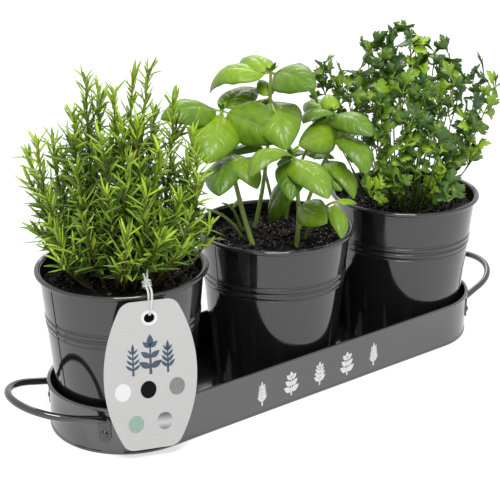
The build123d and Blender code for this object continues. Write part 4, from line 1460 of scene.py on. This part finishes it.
# Pairs of leaves, length of a leaf, its plumpness and its lean
slim, round_leaved, middling = (5, 0.0058, 0.30, 42), (3, 0.0072, 0.58, 58), (4, 0.0064, 0.42, 50)
tray_sprigs = (slim, round_leaved, middling, round_leaved, slim)


def on_tray(shift):
    """A function that puts a drawing's point on the front of the tray."""
    def place(x, y, out):
        spot = tray_surface.ray_cast(Vector((x + shift, before_tray, y)), Vector((0, 1, 0)))[0]
        return spot + Vector((0, -1, 0)) * out
    return place


white_ink = plain_finish("white_ink", (0.96, 0.96, 0.95), (0.92, 0.92, 0.91), 0.4, 800)
for index, kind in enumerate(tray_sprigs):
    outlines = sprig_shapes(tray_sprig_height, *kind)
    shapes = [[(x, y + tray_sprig_foot) for x, y in shape] for shape in outlines]
    shift = -2 * tray_sprig_step + tray_sprig_step * index
    sprig = print_shapes("tray_sprig_" + str(index + 1), shapes, on_tray(shift))
    finish_piece(sprig, "tray", white_ink)


# %% [markdown]
# ## Floor, world and lamps
# The photograph has a pure white ground with next to no shadow. The floor and the world are
# white where the camera or a reflection sees them, and the lamps light the object softly
# from above and from the left.


# %% White floor
def seen_directly(tree):
    """One for the rays of the camera, also by way of a reflection or through glass."""
    path = add_node(tree, "LightPath").outputs
    seen = add_math(tree, "MAXIMUM", path["Is Camera Ray"], path["Is Glossy Ray"])
    return add_math(tree, "MAXIMUM", seen, path["Is Transmission Ray"])


def white_floor():
    """A wide floor that stays white and keeps a faint shadow."""
    floor = add_shape(bpy.ops.mesh.primitive_plane_add, size=6, location=(0, 0, -0.0002))
    floor.name = "white_floor"
    material = bpy.data.materials.new("floor_white")
    material.use_nodes = True
    tree = material.node_tree
    tree.nodes.clear()
    diffuse = add_node(tree, "BsdfDiffuse", Color=(0.75, 0.75, 0.75))
    strength = add_math(tree, "MULTIPLY", seen_directly(tree), 0.55)
    glow = add_node(tree, "Emission", Color=(1, 1, 1), Strength=strength)
    both = add_node(tree, "AddShader")
    feed(tree, both.inputs[0], diffuse.outputs[0])
    feed(tree, both.inputs[1], glow.outputs[0])
    add_node(tree, "OutputMaterial", Surface=both.outputs[0])
    floor.data.materials.append(material)


white_floor()


# %% White world
def white_world():
    """White for the camera and in reflections, softer where it lights the object."""
    world = bpy.data.worlds.new("studio")
    bpy.context.scene.world = world
    world.use_nodes = True
    strength = add_range(world.node_tree, seen_directly(world.node_tree), 0, 1, 0.55, 1.0)
    ground = world.node_tree.nodes["Background"]
    set_node(world.node_tree, ground, {"Color": (1, 1, 1), "Strength": strength})


white_world()


# %% Soft lamps
def soft_lamp(name, place, target, size, power):
    """A square area lamp that faces a point."""
    turn = (Vector(target) - Vector(place)).to_track_quat("-Z", "Y").to_euler()
    bpy.ops.object.light_add(type="AREA", location=place, rotation=turn)
    lamp = bpy.context.object
    lamp.name = name
    lamp.data.size = size
    lamp.data.energy = power
    print(name, power, "W")


soft_lamp("key_lamp", (-0.35, -0.55, 1.25), (0, 0, 0.12), 0.55, 10.5)
soft_lamp("back_lamp", (0.7, 0.9, 1.0), (0, 0, 0.12), 0.6, 4.0)
bpy.context.scene.view_settings.view_transform = "Standard"
